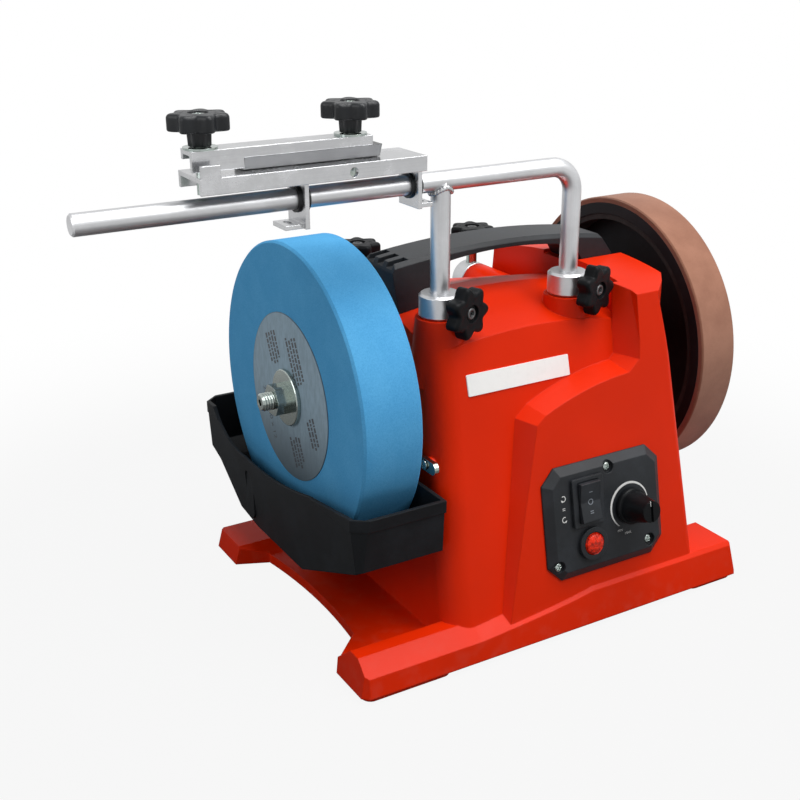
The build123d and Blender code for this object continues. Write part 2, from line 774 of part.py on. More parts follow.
with BuildPart() as trough:
    add(trough_outer)
    with BuildSketch(Plane.XY.offset(trough_rim_z - rim_band)):
        with Locations(((trough_x0 + trough_x1) / 2, shaft_y)):
            Rectangle(120.0, 300.0)
    extrude(amount=2 * rim_band, mode=Mode.INTERSECT)
    add(trough_lower)
    add(trough_inner, mode=Mode.SUBTRACT)
    # Scooped rim of the outer side
    with BuildSketch(across_x(trough_x0 - 1.0, shaft_y, 0)):
        with BuildLine():
            fall = ThreePointArc((98, trough_rim_z), (80, 92), (50, 87.2))
            climb = ThreePointArc((50, 87.2), (0, 88.9), (-50, 99.0))
            Polyline(climb @ 1, (-106, trough_rim_z), (-106, trough_rim_z + 2), (98, trough_rim_z + 2),
                     fall @ 0)
        make_face()
    extrude(amount=trough_wall + 2.5, mode=Mode.SUBTRACT)
    # Shallow groove down the outer side
    with BuildSketch(across_x(trough_x0 - 1.0, shaft_y, 0)):
        with Locations((47, 60)):
            SlotOverall(34, 9, rotation=90)
    extrude(amount=1.0 + groove_in, mode=Mode.SUBTRACT)
    with BuildSketch(across_x(trough_x0 + groove_in, shaft_y, 0)):
        with Locations((47, 60)):
            SlotOverall(38, 13, rotation=90)
    extrude(amount=trough_wall)
    for y in (strip_front_y, strip_back_y):
        with BuildSketch(Plane(origin=(0, y + 31.0 + lug_w / 2, 0), x_dir=(1, 0, 0), z_dir=(0, -1, 0))):
            with BuildLine():
                Polyline((trough_x1 - trough_wall, trough_rim_z - 4), (trough_x1, trough_rim_z - 4),
                         (trough_x1, lug_z), (strip_x + strip_t, lug_z), (strip_x + strip_t, lug_z + lug_t),
                         (trough_x1 - trough_wall, lug_z + lug_t), close=True)
            make_face()
        extrude(amount=lug_w)
save(trough, "trough")

# Support bar: bent rod, and the second leg welded under it
with BuildPart() as support_bar:
    with BuildLine():
        Line((bar_end_x, bar_y, bar_z), (leg_right_x - bend_r, bar_y, bar_z))
        ThreePointArc((leg_right_x - bend_r, bar_y, bar_z),
                      (leg_right_x - bend_r * (1 - sin(radians(45))), bar_y,
                       bar_z - bend_r * (1 - cos(radians(45)))),
                      (leg_right_x, bar_y, bar_z - bend_r))
        Line((leg_right_x, bar_y, bar_z - bend_r), (leg_right_x, bar_y, leg_foot_z))
    with BuildSketch(across_x(bar_end_x, bar_y, bar_z)):
        Circle(bar_d / 2)
    sweep()
    chamfer(support_bar.edges().sort_by(Axis.X)[0], 1.0)
save(support_bar, "support_bar")

with BuildPart() as bar_leg:
    with BuildSketch(Plane((leg_left_x, bar_y, leg_foot_z))):
        Circle(bar_d / 2)
    extrude(amount=bar_z - leg_foot_z)
    with BuildSketch(across_x(leg_left_x - 20, bar_y, bar_z)):
        Circle(bar_d / 2)
    extrude(amount=40, mode=Mode.SUBTRACT)
save(bar_leg, "bar_leg")

# Collars, clamp knobs and their screws
collar_bore_d = bar_d + 2 * run_fit
stud_hole_d = stud_d + 2 * run_fit
stud_tip = bar_d / 2 + free_gap
neck_at = collar_d / 2 + free_gap
rear_neck_at = collar_d / 2 + 15.0


def clamp_plane(x, reach):
    turn = radians(knob_turn)
    out = Vector(sin(turn), -cos(turn), 0)
    return Plane(origin=Vector(x, bar_y, knob_z) + out * reach, x_dir=(0, 0, 1), z_dir=out)


for side, x in zip(("left", "right"), front_legs):
    collar_blank = ring(Plane((x, bar_y, collar_z)), collar_d, collar_bore_d, collar_h, 1.4)
    with BuildPart() as front_collar:
        add(collar_blank.part)
        with BuildSketch(clamp_plane(x, 0)):
            Circle(stud_hole_d / 2)
        extrude(amount=collar_d, mode=Mode.SUBTRACT)
    save(front_collar, f"front_collar_{side}")
    clamp_knob = star_knob(clamp_plane(x, neck_at), clamp_neck_h)
    save(clamp_knob, f"clamp_knob_{side}")
    clamp_screw = ring(clamp_plane(x, stud_tip), stud_d, 0, neck_at + clamp_neck_h - stud_tip)
    save(clamp_screw, f"clamp_screw_{side}")

for side, x in zip(("left", "right"), rear_spots):
    collar_seat = Plane(origin=(x, rear_y, rear_z), x_dir=(1, 0, 0), z_dir=(0, 1, 0))
    collar_blank = ring(collar_seat, collar_d, collar_bore_d, collar_h, 1.4)
    with BuildPart() as rear_collar:
        add(collar_blank.part)
        with BuildSketch(Plane((x, rear_y + collar_h / 2, rear_z))):
            Circle(stud_hole_d / 2)
        extrude(amount=collar_d, mode=Mode.SUBTRACT)
    save(rear_collar, f"rear_collar_{side}")
    rear_knob = star_knob(Plane((x, rear_y + collar_h / 2, rear_z + rear_neck_at)), clamp_neck_h)
    save(rear_knob, f"rear_knob_{side}")
    rear_screw = ring(Plane((x, rear_y + collar_h / 2, rear_z + stud_tip + 0.4)), stud_d, 0,
                      rear_neck_at + clamp_neck_h - stud_tip - 0.4)
    save(rear_screw, f"rear_screw_{side}")

# Gland of the mains cord in the back wall
gland_y = back_y(gland_z) + 1.8
with BuildPart() as cord_gland:
    gland_plane = Plane(origin=(gland_x, gland_y - 16.0, gland_z), x_dir=(1, 0, 0), z_dir=(0, 1, 0))
    with BuildSketch(gland_plane):
        Circle(gland_d / 2)
    extrude(amount=26.0)
    with BuildSketch(gland_plane.offset(16.0)):
        RegularPolygon(11.0, 6, major_radius=False)
    extrude(amount=5.0)
    with BuildSketch(gland_plane):
        Circle(3.8)
    extrude(amount=26.0, mode=Mode.SUBTRACT)
save(cord_gland, "cord_gland")


# Control panel on the raised field
def on_panel(across, up, out=0.0):
    """Plane parallel to the panel's face, measured from the middle of that face."""
    face = field_plane(panel_x, panel_z, panel_t)
    return Plane(origin=face.origin + face.x_dir * across + face.y_dir * up + face.z_dir * out,
                 x_dir=face.x_dir, z_dir=face.z_dir)


switch_at = (-15.7, 12.1)
switch_w = 24.5
switch_h = 32.0
switch_lip = 2.2
switch_neck_w = 20.6
switch_neck_h = 28.6
switch_depth = 24.0
rocker_w = 15.4
rocker_r = 13.0
dial_at = (18.3, 0.9)
dial_d = 24.0
dial_h = 21.0
dial_skirt_h = 4.0
dial_waist_d = 21.2
dial_taper = 12.0
dial_clear = 0.6
pot_d = 17.0
pot_len = 15.0
pot_shaft_d = 6.0
pot_bush_d = 8.0
reset_at = (-13.8, -16.6)
reset_ring_d = 21.6
reset_neck_d = 17.4
reset_d = 14.6
reset_lip = 2.4
panel_edge = 1.0
panel_bevel = 54.0
screw_head_d = 5.2
screw_head_t = 1.3
screw_well_d = 8.4
screw_well = 2.6

with BuildPart() as panel_bezel:
    with BuildSketch(on_panel(0, 0, -panel_t)) as outline:
        Rectangle(panel_w, panel_h)
        chamfer(outline.vertices(), 10.0)
    extrude(amount=panel_edge)
    with BuildSketch(on_panel(0, 0, panel_edge - panel_t)) as bevel_foot:
        Rectangle(panel_w, panel_h)
        chamfer(bevel_foot.vertices(), 10.0)
    extrude(amount=panel_t - panel_edge, taper=panel_bevel)
    with BuildSketch(on_panel(0, 0)):
        with Locations(switch_at):
            Rectangle(switch_neck_w, switch_neck_h)
        with Locations(dial_at):
            Circle(pot_bush_d / 2)
        with Locations(reset_at):
            Circle(reset_neck_d / 2)
        with Locations(*panel_screw_spots):
            Circle(screw_d / 2)
    extrude(amount=-panel_t, mode=Mode.SUBTRACT)
    with BuildSketch(on_panel(0, 0)):
        with Locations(*panel_screw_spots):
            Circle(screw_well_d / 2)
    extrude(amount=-screw_well, mode=Mode.SUBTRACT)
save(panel_bezel, "panel_bezel")

with BuildPart() as panel_screws:
    with BuildSketch(on_panel(0, 0, -panel_t - 6.0)):
        with Locations(*panel_screw_spots):
            Circle(screw_d / 2)
    extrude(amount=panel_t + 6.0 - screw_well)
    with BuildSketch(on_panel(0, 0, -screw_well)):
        with Locations(*panel_screw_spots):
            Circle(screw_head_d / 2)
    extrude(amount=screw_head_t)
save(panel_screws, "panel_screws")

with BuildPart() as switch_body:
    with BuildSketch(on_panel(*switch_at)):
        RectangleRounded(switch_w, switch_h, 1.5)
    extrude(amount=switch_lip)
    with BuildSketch(on_panel(*switch_at)):
        Rectangle(switch_neck_w, switch_neck_h)
    extrude(amount=-switch_depth)
    with BuildSketch(on_panel(*switch_at, switch_lip)):
        Rectangle(rocker_w + 0.8, 2 * rocker_r + 0.8)
    extrude(amount=-10.4, mode=Mode.SUBTRACT)
save(switch_body, "switch_body")

pivot = on_panel(*switch_at, switch_lip)
rocker_side = Plane(origin=pivot.origin, x_dir=pivot.y_dir, z_dir=pivot.x_dir)
with BuildPart() as rocker:
    with BuildSketch(rocker_side):
        with BuildLine():
            Polyline((-13, -5), (13, -5), (13, 3.4), (0, 1.4), (-13, 3.4), close=True)
        make_face()
        Circle(rocker_r, mode=Mode.INTERSECT)
    extrude(amount=rocker_w / 2, both=True)
save(rocker, "rocker")

with BuildPart() as potentiometer:
    with BuildSketch(on_panel(*dial_at, -panel_t)):
        Circle(pot_d / 2)
    extrude(amount=-pot_len)
    with BuildSketch(on_panel(*dial_at, -panel_t)):
        Circle(pot_bush_d / 2)
    extrude(amount=panel_t)
    with BuildSketch(on_panel(*dial_at)):
        Circle(pot_shaft_d / 2 + run_fit)
    extrude(amount=-panel_t - 8.0, mode=Mode.SUBTRACT)
save(potentiometer, "potentiometer")

with BuildPart() as control_board:
    with BuildSketch(on_panel(dial_at[0] - 1.0, dial_at[1] - 2.0, -panel_t - pot_len)):
        Rectangle(44.0, 30.0)
    extrude(amount=-1.6)
save(control_board, "control_board")

# Speed knob: flat skirt, tapered grip with a pointer groove across its end, shaft in the potentiometer
dial_skirt = ring(on_panel(*dial_at, dial_clear), dial_d, 0, dial_skirt_h, 0.8)
with BuildPart() as speed_knob:
    add(dial_skirt.part)
    with BuildSketch(on_panel(*dial_at, dial_clear + dial_skirt_h)):
        Circle(dial_waist_d / 2)
    extrude(amount=dial_h - dial_skirt_h, taper=dial_taper)
    with BuildSketch(on_panel(*dial_at, dial_clear + dial_h)):
        Rectangle(2.0, dial_d)
    extrude(amount=-1.2, mode=Mode.SUBTRACT)
    with BuildSketch(on_panel(*dial_at, -panel_t - 7.0)):
        Circle(pot_shaft_d / 2)
    extrude(amount=panel_t + 8.0)
save(speed_knob, "speed_knob")

with BuildPart() as reset_ring:
    with BuildSketch(on_panel(*reset_at)):
        Circle(reset_ring_d / 2)
    extrude(amount=reset_lip)
    with BuildSketch(on_panel(*reset_at)):
        Circle(reset_neck_d / 2)
    extrude(amount=-18.0)
    with BuildSketch(on_panel(*reset_at, reset_lip)):
        Circle(reset_d / 2 + free_gap)
    extrude(amount=-reset_lip - 11.0, mode=Mode.SUBTRACT)
save(reset_ring, "reset_ring")

reset_button = ring(on_panel(*reset_at, -7.0), reset_d, 0, 11.8, 1.2)
save(reset_button, "reset_button")

# Sharpening jig on the support bar
jig_screw_d = 6.0
jig_thread_d = jig_screw_d + 2 * run_fit
jig_free_d = jig_screw_d + 0.8
jig_bush_d = 15.2
bracket_w = 22.0
jaw_gap = 0.4
jaw_back = 7.0
jaw_front = -7.2
jaw_toe = -4.4
jaw_end_x = stone_face_x + 31.0
lip_t = 2.2
lip_len = 29.0
lip_drop = 5.4
thread_reach = 8.5
clamp_x0 = stone_face_x - 81.0
clamp_len = 106.0
jaw_x0 = clamp_x0 + lip_len + free_gap
washer_z = clamp_z1
jig_washer_t = 1.2
jig_knobs = (jig_left_x, jig_right_x)
tab_x = stone_face_x - 74.0
tab_w = 10.5
tab_h = 6.5

with BuildPart() as jig_channel:
    with BuildSketch(across_x(channel_x0, bar_y, 0)):
        with BuildLine():
            Polyline((-channel_w / 2, channel_z0), (-channel_w / 2, channel_z1), (channel_w / 2, channel_z1),
                     (channel_w / 2, channel_z0), (channel_w / 2 - sheet, channel_z0),
                     (channel_w / 2 - sheet, channel_z1 - sheet),
                     (-channel_w / 2 + sheet, channel_z1 - sheet),
                     (-channel_w / 2 + sheet, channel_z0), close=True)
        make_face()
    extrude(amount=channel_x1 - channel_x0)
    with BuildSketch(Plane.XY.offset(channel_z1)):
        with Locations((tab_x, bar_y - channel_w / 2 + sheet / 2)):
            Rectangle(tab_w, sheet)
    extrude(amount=tab_h)
    with BuildSketch(Plane.XY.offset(channel_z1)):
        with Locations(*[(x, bar_y) for x in jig_knobs]):
            Circle(jig_thread_d / 2)
    extrude(amount=-sheet, mode=Mode.SUBTRACT)
    with BuildSketch(Plane(origin=(stone_face_x + 8.5, bar_y - channel_w / 2, 300.3),
                           x_dir=(1, 0, 0), z_dir=(0, -1, 0))):
        Circle(2.6)
    extrude(amount=-sheet, mode=Mode.SUBTRACT)
save(jig_channel, "jig_channel")

for side, x, way, jig_foot, jig_foot_z in (("left", bracket_left_x, -1, 11.0, 271.0),
                                           ("right", bracket_right_x, 1, 9.0, 274.0)):
    with BuildPart() as jig_bracket:
        with BuildSketch(across_x(x - sheet / 2, bar_y, 0)):
            with Locations((0, (channel_z1 - sheet + jig_foot_z) / 2)):
                Rectangle(bracket_w, channel_z1 - sheet - jig_foot_z)
            with Locations((0, bar_z)):
                Circle(jig_bush_d / 2 + run_fit, mode=Mode.SUBTRACT)
        extrude(amount=sheet)
        with BuildSketch(Plane.XY.offset(jig_foot_z)):
            with Locations((x + way * (sheet + jig_foot) / 2, bar_y)):
                Rectangle(jig_foot, bracket_w - 6.0)
                SlotOverall(bracket_w - 14.0, 4.0, rotation=90, mode=Mode.SUBTRACT)
        extrude(amount=sheet)
    save(jig_bracket, f"jig_bracket_{side}")

with BuildPart() as jig_bushes:
    for x in (bracket_left_x, bracket_right_x):
        start = x - sheet / 2 - 1.5
        with BuildSketch(across_x(start, bar_y, bar_z)):
            Circle(jig_bush_d / 2)
        extrude(amount=sheet + 4.5)
        with BuildSketch(across_x(x + sheet / 2 + free_gap, bar_y, bar_z)):
            Circle(jig_bush_d / 2 + 1.8)
        extrude(amount=1.4)
        with BuildSketch(across_x(start, bar_y, bar_z)):
            Circle(bar_d / 2 + run_fit)
        extrude(amount=sheet + 4.5, mode=Mode.SUBTRACT)
save(jig_bushes, "jig_bushes")

with BuildPart() as jig_jaw:
    with BuildSketch(across_x(jaw_x0, bar_y, 0)):
        with BuildLine():
            Polyline((jaw_front, clamp_z0), (jaw_toe, channel_z1 + jaw_gap), (jaw_back, channel_z1 + jaw_gap),
                     (jaw_back, clamp_z0), close=True)
        make_face()
    extrude(amount=jaw_end_x - jaw_x0)
    with BuildSketch(Plane((jig_right_x, bar_y, clamp_z0))):
        Circle(jig_free_d / 2)
    extrude(amount=-20.0, mode=Mode.SUBTRACT)
save(jig_jaw, "jig_jaw")

with BuildPart() as jig_clamp_bar:
    with BuildSketch(across_x(clamp_x0, bar_y, 0)):
        with BuildLine():
            Polyline((-clamp_w / 2, clamp_z0), (-clamp_w / 2, clamp_z1), (clamp_w / 2, clamp_z1),
                     (clamp_w / 2, clamp_z0), (clamp_w / 2 - sheet, clamp_z0),
                     (clamp_w / 2 - sheet, clamp_z1 - sheet), (-clamp_w / 2 + sheet, clamp_z1 - sheet),
                     (-clamp_w / 2 + sheet, clamp_z0), close=True)
        make_face()
    extrude(amount=clamp_len)
    with BuildSketch(Plane.XY.offset(clamp_z0)):
        with Locations((clamp_x0 + lip_len / 2, bar_y - clamp_w / 2 + lip_t / 2)):
            Rectangle(lip_len, lip_t)
    extrude(amount=-lip_drop)
    with BuildSketch(Plane.XY.offset(clamp_z1)):
        with Locations(*[(x, bar_y) for x in jig_knobs]):
            Circle(jig_free_d / 2)
    extrude(amount=-20.0, mode=Mode.SUBTRACT)
save(jig_clamp_bar, "jig_clamp_bar")

with BuildPart() as jig_washers:
    with BuildSketch(Plane.XY.offset(washer_z)):
        with Locations(*[(x, bar_y) for x in jig_knobs]):
            Circle(9.2)
            Circle(jig_free_d / 2, mode=Mode.SUBTRACT)
    extrude(amount=jig_washer_t)
save(jig_washers, "jig_washers")

jig_neck_z = washer_z + jig_washer_t + free_gap
for side, x in zip(("left", "right"), jig_knobs):
    jig_knob = star_knob(Plane((x, bar_y, jig_neck_z)), jig_neck_h)
    save(jig_knob, f"jig_knob_{side}")
    with BuildPart() as jig_screw:
        with BuildSketch(Plane((x, bar_y, channel_z1 - sheet - thread_reach))):
            Circle(jig_screw_d / 2)
        extrude(amount=jig_neck_z - channel_z1 + sheet + thread_reach)
        with BuildSketch(Plane((x, bar_y, jig_neck_z))):
            Circle(stud_d / 2)
        extrude(amount=jig_neck_h)
    save(jig_screw, f"jig_screw_{side}")
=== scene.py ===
import json
from math import cos, pi, radians, sin

import bmesh
import bpy
import numpy as np
from bpy.props import FloatProperty, FloatVectorProperty, IntProperty, PointerProperty
from bpy.types import Operator, Panel, PropertyGroup
from mathutils import Matrix, Vector


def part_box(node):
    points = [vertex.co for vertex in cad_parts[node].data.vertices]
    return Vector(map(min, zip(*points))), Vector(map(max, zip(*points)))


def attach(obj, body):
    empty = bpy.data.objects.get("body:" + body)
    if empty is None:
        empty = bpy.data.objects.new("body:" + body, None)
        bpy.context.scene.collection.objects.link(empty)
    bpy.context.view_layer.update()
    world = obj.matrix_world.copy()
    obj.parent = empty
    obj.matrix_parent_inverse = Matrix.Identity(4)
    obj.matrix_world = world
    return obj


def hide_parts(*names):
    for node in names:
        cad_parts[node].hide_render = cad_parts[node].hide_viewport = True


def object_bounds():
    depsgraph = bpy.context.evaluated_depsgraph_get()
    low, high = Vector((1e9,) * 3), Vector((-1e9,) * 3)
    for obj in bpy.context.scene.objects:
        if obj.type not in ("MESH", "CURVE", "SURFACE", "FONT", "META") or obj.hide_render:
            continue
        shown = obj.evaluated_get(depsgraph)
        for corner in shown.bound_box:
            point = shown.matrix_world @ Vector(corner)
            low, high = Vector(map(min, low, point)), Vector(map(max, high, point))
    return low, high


bl_info = {
    "name": "Wet sharpening machine",
    "version": (1, 0, 0),
    "blender": (4, 5, 0),
    "location": "View3D > Sidebar > Sharpener",
    "description": "Gives the packed sharpening machine its finishes, fittings, marks and studio",
    "category": "Object",
}

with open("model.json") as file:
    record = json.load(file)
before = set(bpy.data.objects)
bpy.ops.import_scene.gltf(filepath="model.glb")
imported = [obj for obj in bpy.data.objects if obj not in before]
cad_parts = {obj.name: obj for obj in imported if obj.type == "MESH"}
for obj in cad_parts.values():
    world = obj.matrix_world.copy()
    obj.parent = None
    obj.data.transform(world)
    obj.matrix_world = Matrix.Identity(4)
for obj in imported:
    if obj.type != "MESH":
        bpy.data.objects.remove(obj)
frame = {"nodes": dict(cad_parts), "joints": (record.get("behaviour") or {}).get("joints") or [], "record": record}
cad_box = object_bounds()
joints = {joint["name"]: joint for joint in frame["joints"]}
MM = 0.001
SHARP_ANGLE = radians(38)


def facing(out):
    """Axes of a leaning plane: X across, then up, then out."""
    across = np.array((1.0, 0.0, 0.0))
    return np.stack([across, np.cross(out, across), out])


# Places read from the frame
stone_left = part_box("stone")[0].x
shaft_y, shaft_z = joints["wheel_spin"]["pos_m"][1:]
shaft_at = (0.0, shaft_y, shaft_z)
shaft_way = (1.0, 0.0, 0.0)
panel_out = np.array(joints["speed_turn"]["axis"])
panel_axes = facing(panel_out)
dial_at = np.array(joints["speed_turn"]["pos_m"])
rocker_at = np.array(joints["rocker_tilt"]["pos_m"])


def gamma_colour(label, words, red, green, blue):
    """Colour property written as 0 to 255 screen values."""
    return FloatVectorProperty(name=label, description=words, subtype="COLOR_GAMMA", size=3, min=0.0, max=1.0,
                               default=(red / 255, green / 255, blue / 255))


def length(label, words, millimetres):
    """Length property written in millimetres."""
    return FloatProperty(name=label, description=words, subtype="DISTANCE", unit="LENGTH", min=0.0,
                         default=millimetres * MM)


def power(label, words, watts):
    return FloatProperty(name=label, description=words, unit="POWER", min=0.0, default=watts)


def brightness(label, words, strength):
    return FloatProperty(name=label, description=words, min=0.0, default=strength)


class SharpenerColours(PropertyGroup):
    """Colours of the finishes."""

    cover: gamma_colour("Cover", "Moulded housing", 226, 42, 0)
    plastic: gamma_colour("Black plastic", "Handle, panel, trough and knobs", 33, 36, 40)
    stone: gamma_colour("Stone", "Body of the grinding stone", 95, 179, 230)
    stone_dark: gamma_colour("Stone, dark grit", "Darker grains and blotches of the stone", 73, 157, 214)
    label: gamma_colour("Label card", "Grey discs on the stone", 154, 178, 194)
    leather: gamma_colour("Leather", "Tread of the honing wheel", 170, 119, 95)
    leather_dark: gamma_colour("Leather, dark", "Darker patches of the tread", 132, 84, 62)
    steel: gamma_colour("Bright steel", "Support bar, collars and jig", 222, 223, 225)
    zinc: gamma_colour("Zinc", "Nuts, washers and screws", 176, 186, 182)
    button: gamma_colour("Reset button", "Cap over the reset button", 232, 46, 14)
    marks: gamma_colour("Marks", "Printed scale, signs and the bare plate", 232, 232, 230)
    signs: gamma_colour("Rocker signs", "Signs moulded in the rocker", 128, 134, 142)
    label_ink: gamma_colour("Label ink", "Print on the stone's label", 69, 75, 82)
    rubber: gamma_colour("Rubber", "Feet and drive ring", 37, 37, 37)
    motor: gamma_colour("Motor paint", "Motor inside the housing", 69, 69, 72)
    roller: gamma_colour("Roller", "Friction roller on the motor", 196, 196, 196)
    bronze: gamma_colour("Bronze", "Bearing bushes of the shaft", 181, 144, 89)
    board: gamma_colour("Board", "Control board behind the panel", 48, 111, 69)


class SharpenerSizes(PropertyGroup):
    """Sizes of the fittings that dress the solids."""

    lobe_depth: length("Lobe depth", "How far the star knobs draw in between their lobes", 3.9)
    thread_pitch: length("Thread pitch", "Rise of the shaft thread in one turn", 1.75)
    thread_depth: length("Thread depth", "Height of the shaft thread", 0.75)
    text_pitch: length("Text pitch", "Distance between the lines printed on the label", 4.3)
    bead_radius: length("Weld bead", "Radius of the bead under the support bar", 1.7)
    scale_radius: length("Scale radius", "Middle of the printed speed scale", 15.2)
    mark_width: length("Mark width", "Width of the printed lines", 0.55)
    print_lift: length("Print lift", "How far printed marks stand off what carries them", 0.06)
    plate_width: length("Plate width", "Bare plate on the housing front", 77.4)
    plate_height: length("Plate height", "Bare plate on the housing front", 13.5)
    plate_thickness: length("Plate thickness", "Bare plate on the housing front", 0.7)
    columns: IntProperty(name="Columns", description="Points round a star knob", default=168, min=24)


class SharpenerStudio(PropertyGroup):
    """Lights and camera."""

    key_power: power("Key light", "Power of the front light", 16.0)
    fill_power: power("Fill light", "Power of the left light", 8.0)
    top_power: power("Top light", "Power of the light above", 29.0)
    sky: brightness("Sky", "Light from all round", 0.1)
    backdrop: brightness("Backdrop", "Brightness of the room in reflections", 0.85)
    far_floor: brightness("Far floor", "Brightness of the far floor in reflections", 0.62)
    lens: FloatProperty(name="Lens", description="Focal length on a 36 mm sensor", unit="CAMERA",
                        default=53.74)


# Shader maths

def linear(colour):
    """Screen colour to the linear values that shaders use."""
    screen = np.array(colour[:3], float)
    light = np.where(screen <= 0.04045, screen / 12.92, ((screen + 0.055) / 1.055) ** 2.4)
    return (*light.tolist(), 1.0)


def shade(colour, factor):
    """The same linear colour, lighter or darker."""
    return (*[min(1.0, part * factor) for part in colour[:3]], 1.0)


def plug(tree, socket, value):
    """Link a tone to a socket, or set the socket's own value."""
    if isinstance(value, Tone):
        tree.links.new(value.socket, socket)
    else:
        socket.default_value = value


class Tone:
    """A shader socket that takes part in Python arithmetic, adding one Math node for each operation."""

    def __init__(self, tree, socket=None):
        self.tree = tree
        self.socket = socket

    def node(self, kind, settings=None, values=None, output=0):
        """Add a node: its settings come first, then the value or link of each socket."""
        made = self.tree.nodes.new(kind)
        for key, value in (settings or {}).items():
            setattr(made, key, value)
        for key, value in (values or {}).items():
            plug(self.tree, made.inputs[key], value)
        return Tone(self.tree, made.outputs[output])

    def maths(self, operation, *others):
        """A Math node that takes this value first."""
        return self.node("ShaderNodeMath", {"operation": operation}, dict(enumerate((self, *others))))

    def __add__(self, other):
        return self.maths("ADD", other)

    __radd__ = __add__

    def __sub__(self, other):
        return self.maths("SUBTRACT", other)

    def __rsub__(self, other):
        return self.node("ShaderNodeMath", {"operation": "SUBTRACT"}, {0: other, 1: self})

    def __mul__(self, other):
        return self.maths("MULTIPLY", other)

    __rmul__ = __mul__

    def __truediv__(self, other):
        return self.maths("DIVIDE", other)

    def step(self, low, high):
        """Smooth rise from 0 at low to 1 at high."""
        return self.node("ShaderNodeMapRange", {"interpolation_type": "SMOOTHSTEP"},
                         {"Value": self, "From Min": low, "From Max": high})

    def band(self, middle, half, soft):
        """1 within half of middle, falling to 0 over soft."""
        return 1.0 - (self - middle).maths("ABSOLUTE").step(half, half + soft)

    def tint(self, first, second):
        """Colour that goes from first to second as this value goes from 0 to 1. A Mix node's colours are its
        inputs 6 and 7 and its output 2."""
        return self.node("ShaderNodeMix", {"data_type": "RGBA"}, {0: self, 6: first, 7: second}, 2)


class Finish:
    """A material with one principled shader, and the object coordinates that its patterns read."""

    def __init__(self, name, **constants):
        self.material = bpy.data.materials.new(name)
        self.material.use_nodes = True
        self.tree = self.material.node_tree
        self.shader = self.tree.nodes["Principled BSDF"]
        self.root = Tone(self.tree)
        self.place = self.root.node("ShaderNodeTexCoord", output="Object")
        self.set(**constants)

    def set(self, **values):
        """Set or link the shader's sockets, named with _ for a space."""
        for name, value in values.items():
            socket = name.replace("_", " ").title().replace("Ior", "IOR")
            plug(self.tree, self.shader.inputs[socket], value)

    def stretched(self, x, y, z):
        """The coordinates, scaled along each axis."""
        values = {0: self.place, 1: (x, y, z)}
        return self.root.node("ShaderNodeVectorMath", {"operation": "MULTIPLY"}, values)

    def noise(self, scale, detail=3.0, rough=0.5, where=None):
        """Cloudy value from 0 to 1: its waves to the metre, its layers of detail and how much those count."""
        values = {"Vector": where or self.place, "Scale": scale, "Detail": detail, "Roughness": rough}
        return self.root.node("ShaderNodeTexNoise", None, values)

    def cells(self, scale):
        """Distance to the nearest point of a random scatter."""
        return self.root.node("ShaderNodeTexVoronoi", None, {"Vector": self.place, "Scale": scale})

    def axis(self, name):
        """One coordinate, in metres."""
        return self.root.node("ShaderNodeSeparateXYZ", None, {0: self.place}, name)

    def from_shaft(self):
        """How far a place is behind the shaft's axis and above it, in metres."""
        return self.axis("Y") - shaft_y, self.axis("Z") - shaft_z

    def relief(self, height, depth, edge=0.0):
        """Bump from a height of 0 to 1 over a depth in metres, with edges rounded to a radius."""
        values = {"Height": height, "Distance": depth, "Strength": 1.0}
        if edge:
            values["Normal"] = self.root.node("ShaderNodeBevel", {"samples": 4}, {"Radius": edge})
        self.set(normal=self.root.node("ShaderNodeBump", None, values))


def cover_finish(colours):
    """Moulded cover: slight cloudiness, orange peel, rounded edges, dust low down."""
    done = Finish("cover_red", coat_roughness=0.25, specular_ior_level=0.13)
    red = linear(colours.cover)
    pale_dust = (0.55, 0.30, 0.24, 1.0)
    dusty_below = 30.0 * MM
    cloud = done.noise(9.0, 4.0)
    peel = done.noise(1500.0, 1.0)
    scuff = done.noise(60.0, 6.0, 0.7, done.stretched(1.0, 1.0, 0.25)).step(0.62, 0.74)
    dust = (1.0 - done.axis("Z").step(0.0, dusty_below)) * done.noise(120.0, 5.0).step(0.45, 0.7)
    base = cloud.step(0.3, 0.7).tint(shade(red, 0.93), shade(red, 1.05))
    base = (dust * 0.06).tint(base, pale_dust)
    done.set(base_color=base, roughness=0.36 + cloud * 0.1 + scuff * 0.08, coat_weight=0.04 - scuff * 0.02)
    done.relief(peel, depth=0.03 * MM, edge=1.1 * MM)
    return done.material


def grained_plastic(name, colour, grain, gloss, shine, edge):
    """Black moulding: eroded grain in the tool, faint grey handling marks."""
    done = Finish(name, specular_ior_level=shine)
    rubbed = done.noise(35.0, 5.0, 0.65)
    texture = done.cells(grain)
    base = rubbed.step(0.4, 0.75).tint(shade(colour, 0.75), shade(colour, 1.5))
    done.set(base_color=base, roughness=gloss + rubbed * 0.16)
    done.relief(texture * 0.7 + done.noise(grain * 2.0, 2.0) * 0.3, depth=0.05 * MM, edge=edge)
    return done.material


def stone_finish(colours):
    """Bonded grit: fine speckle, open pores, cloudy blotches."""
    done = Finish("stone_blue", specular_ior_level=0.25)
    light = linear(colours.stone)
    dark = linear(colours.stone_dark)
    grit = done.noise(1100.0, 3.0, 0.75)
    blotch = done.noise(38.0, 5.0, 0.6)
    pores = 1.0 - done.cells(520.0).step(0.08, 0.2)
    pores = pores * done.noise(90.0, 3.0).step(0.5, 0.62)
    base = (grit.step(0.3, 0.7) * 0.7 + blotch.step(0.35, 0.7) * 0.3).tint(dark, light)
    base = (pores * 0.4).tint(base, shade(dark, 0.7))
    done.set(base_color=base, roughness=0.82 + grit * 0.12)
    done.relief(grit * 0.6 + blotch * 0.1 - pores * 0.5, depth=0.1 * MM, edge=0.5 * MM)
    return done.material


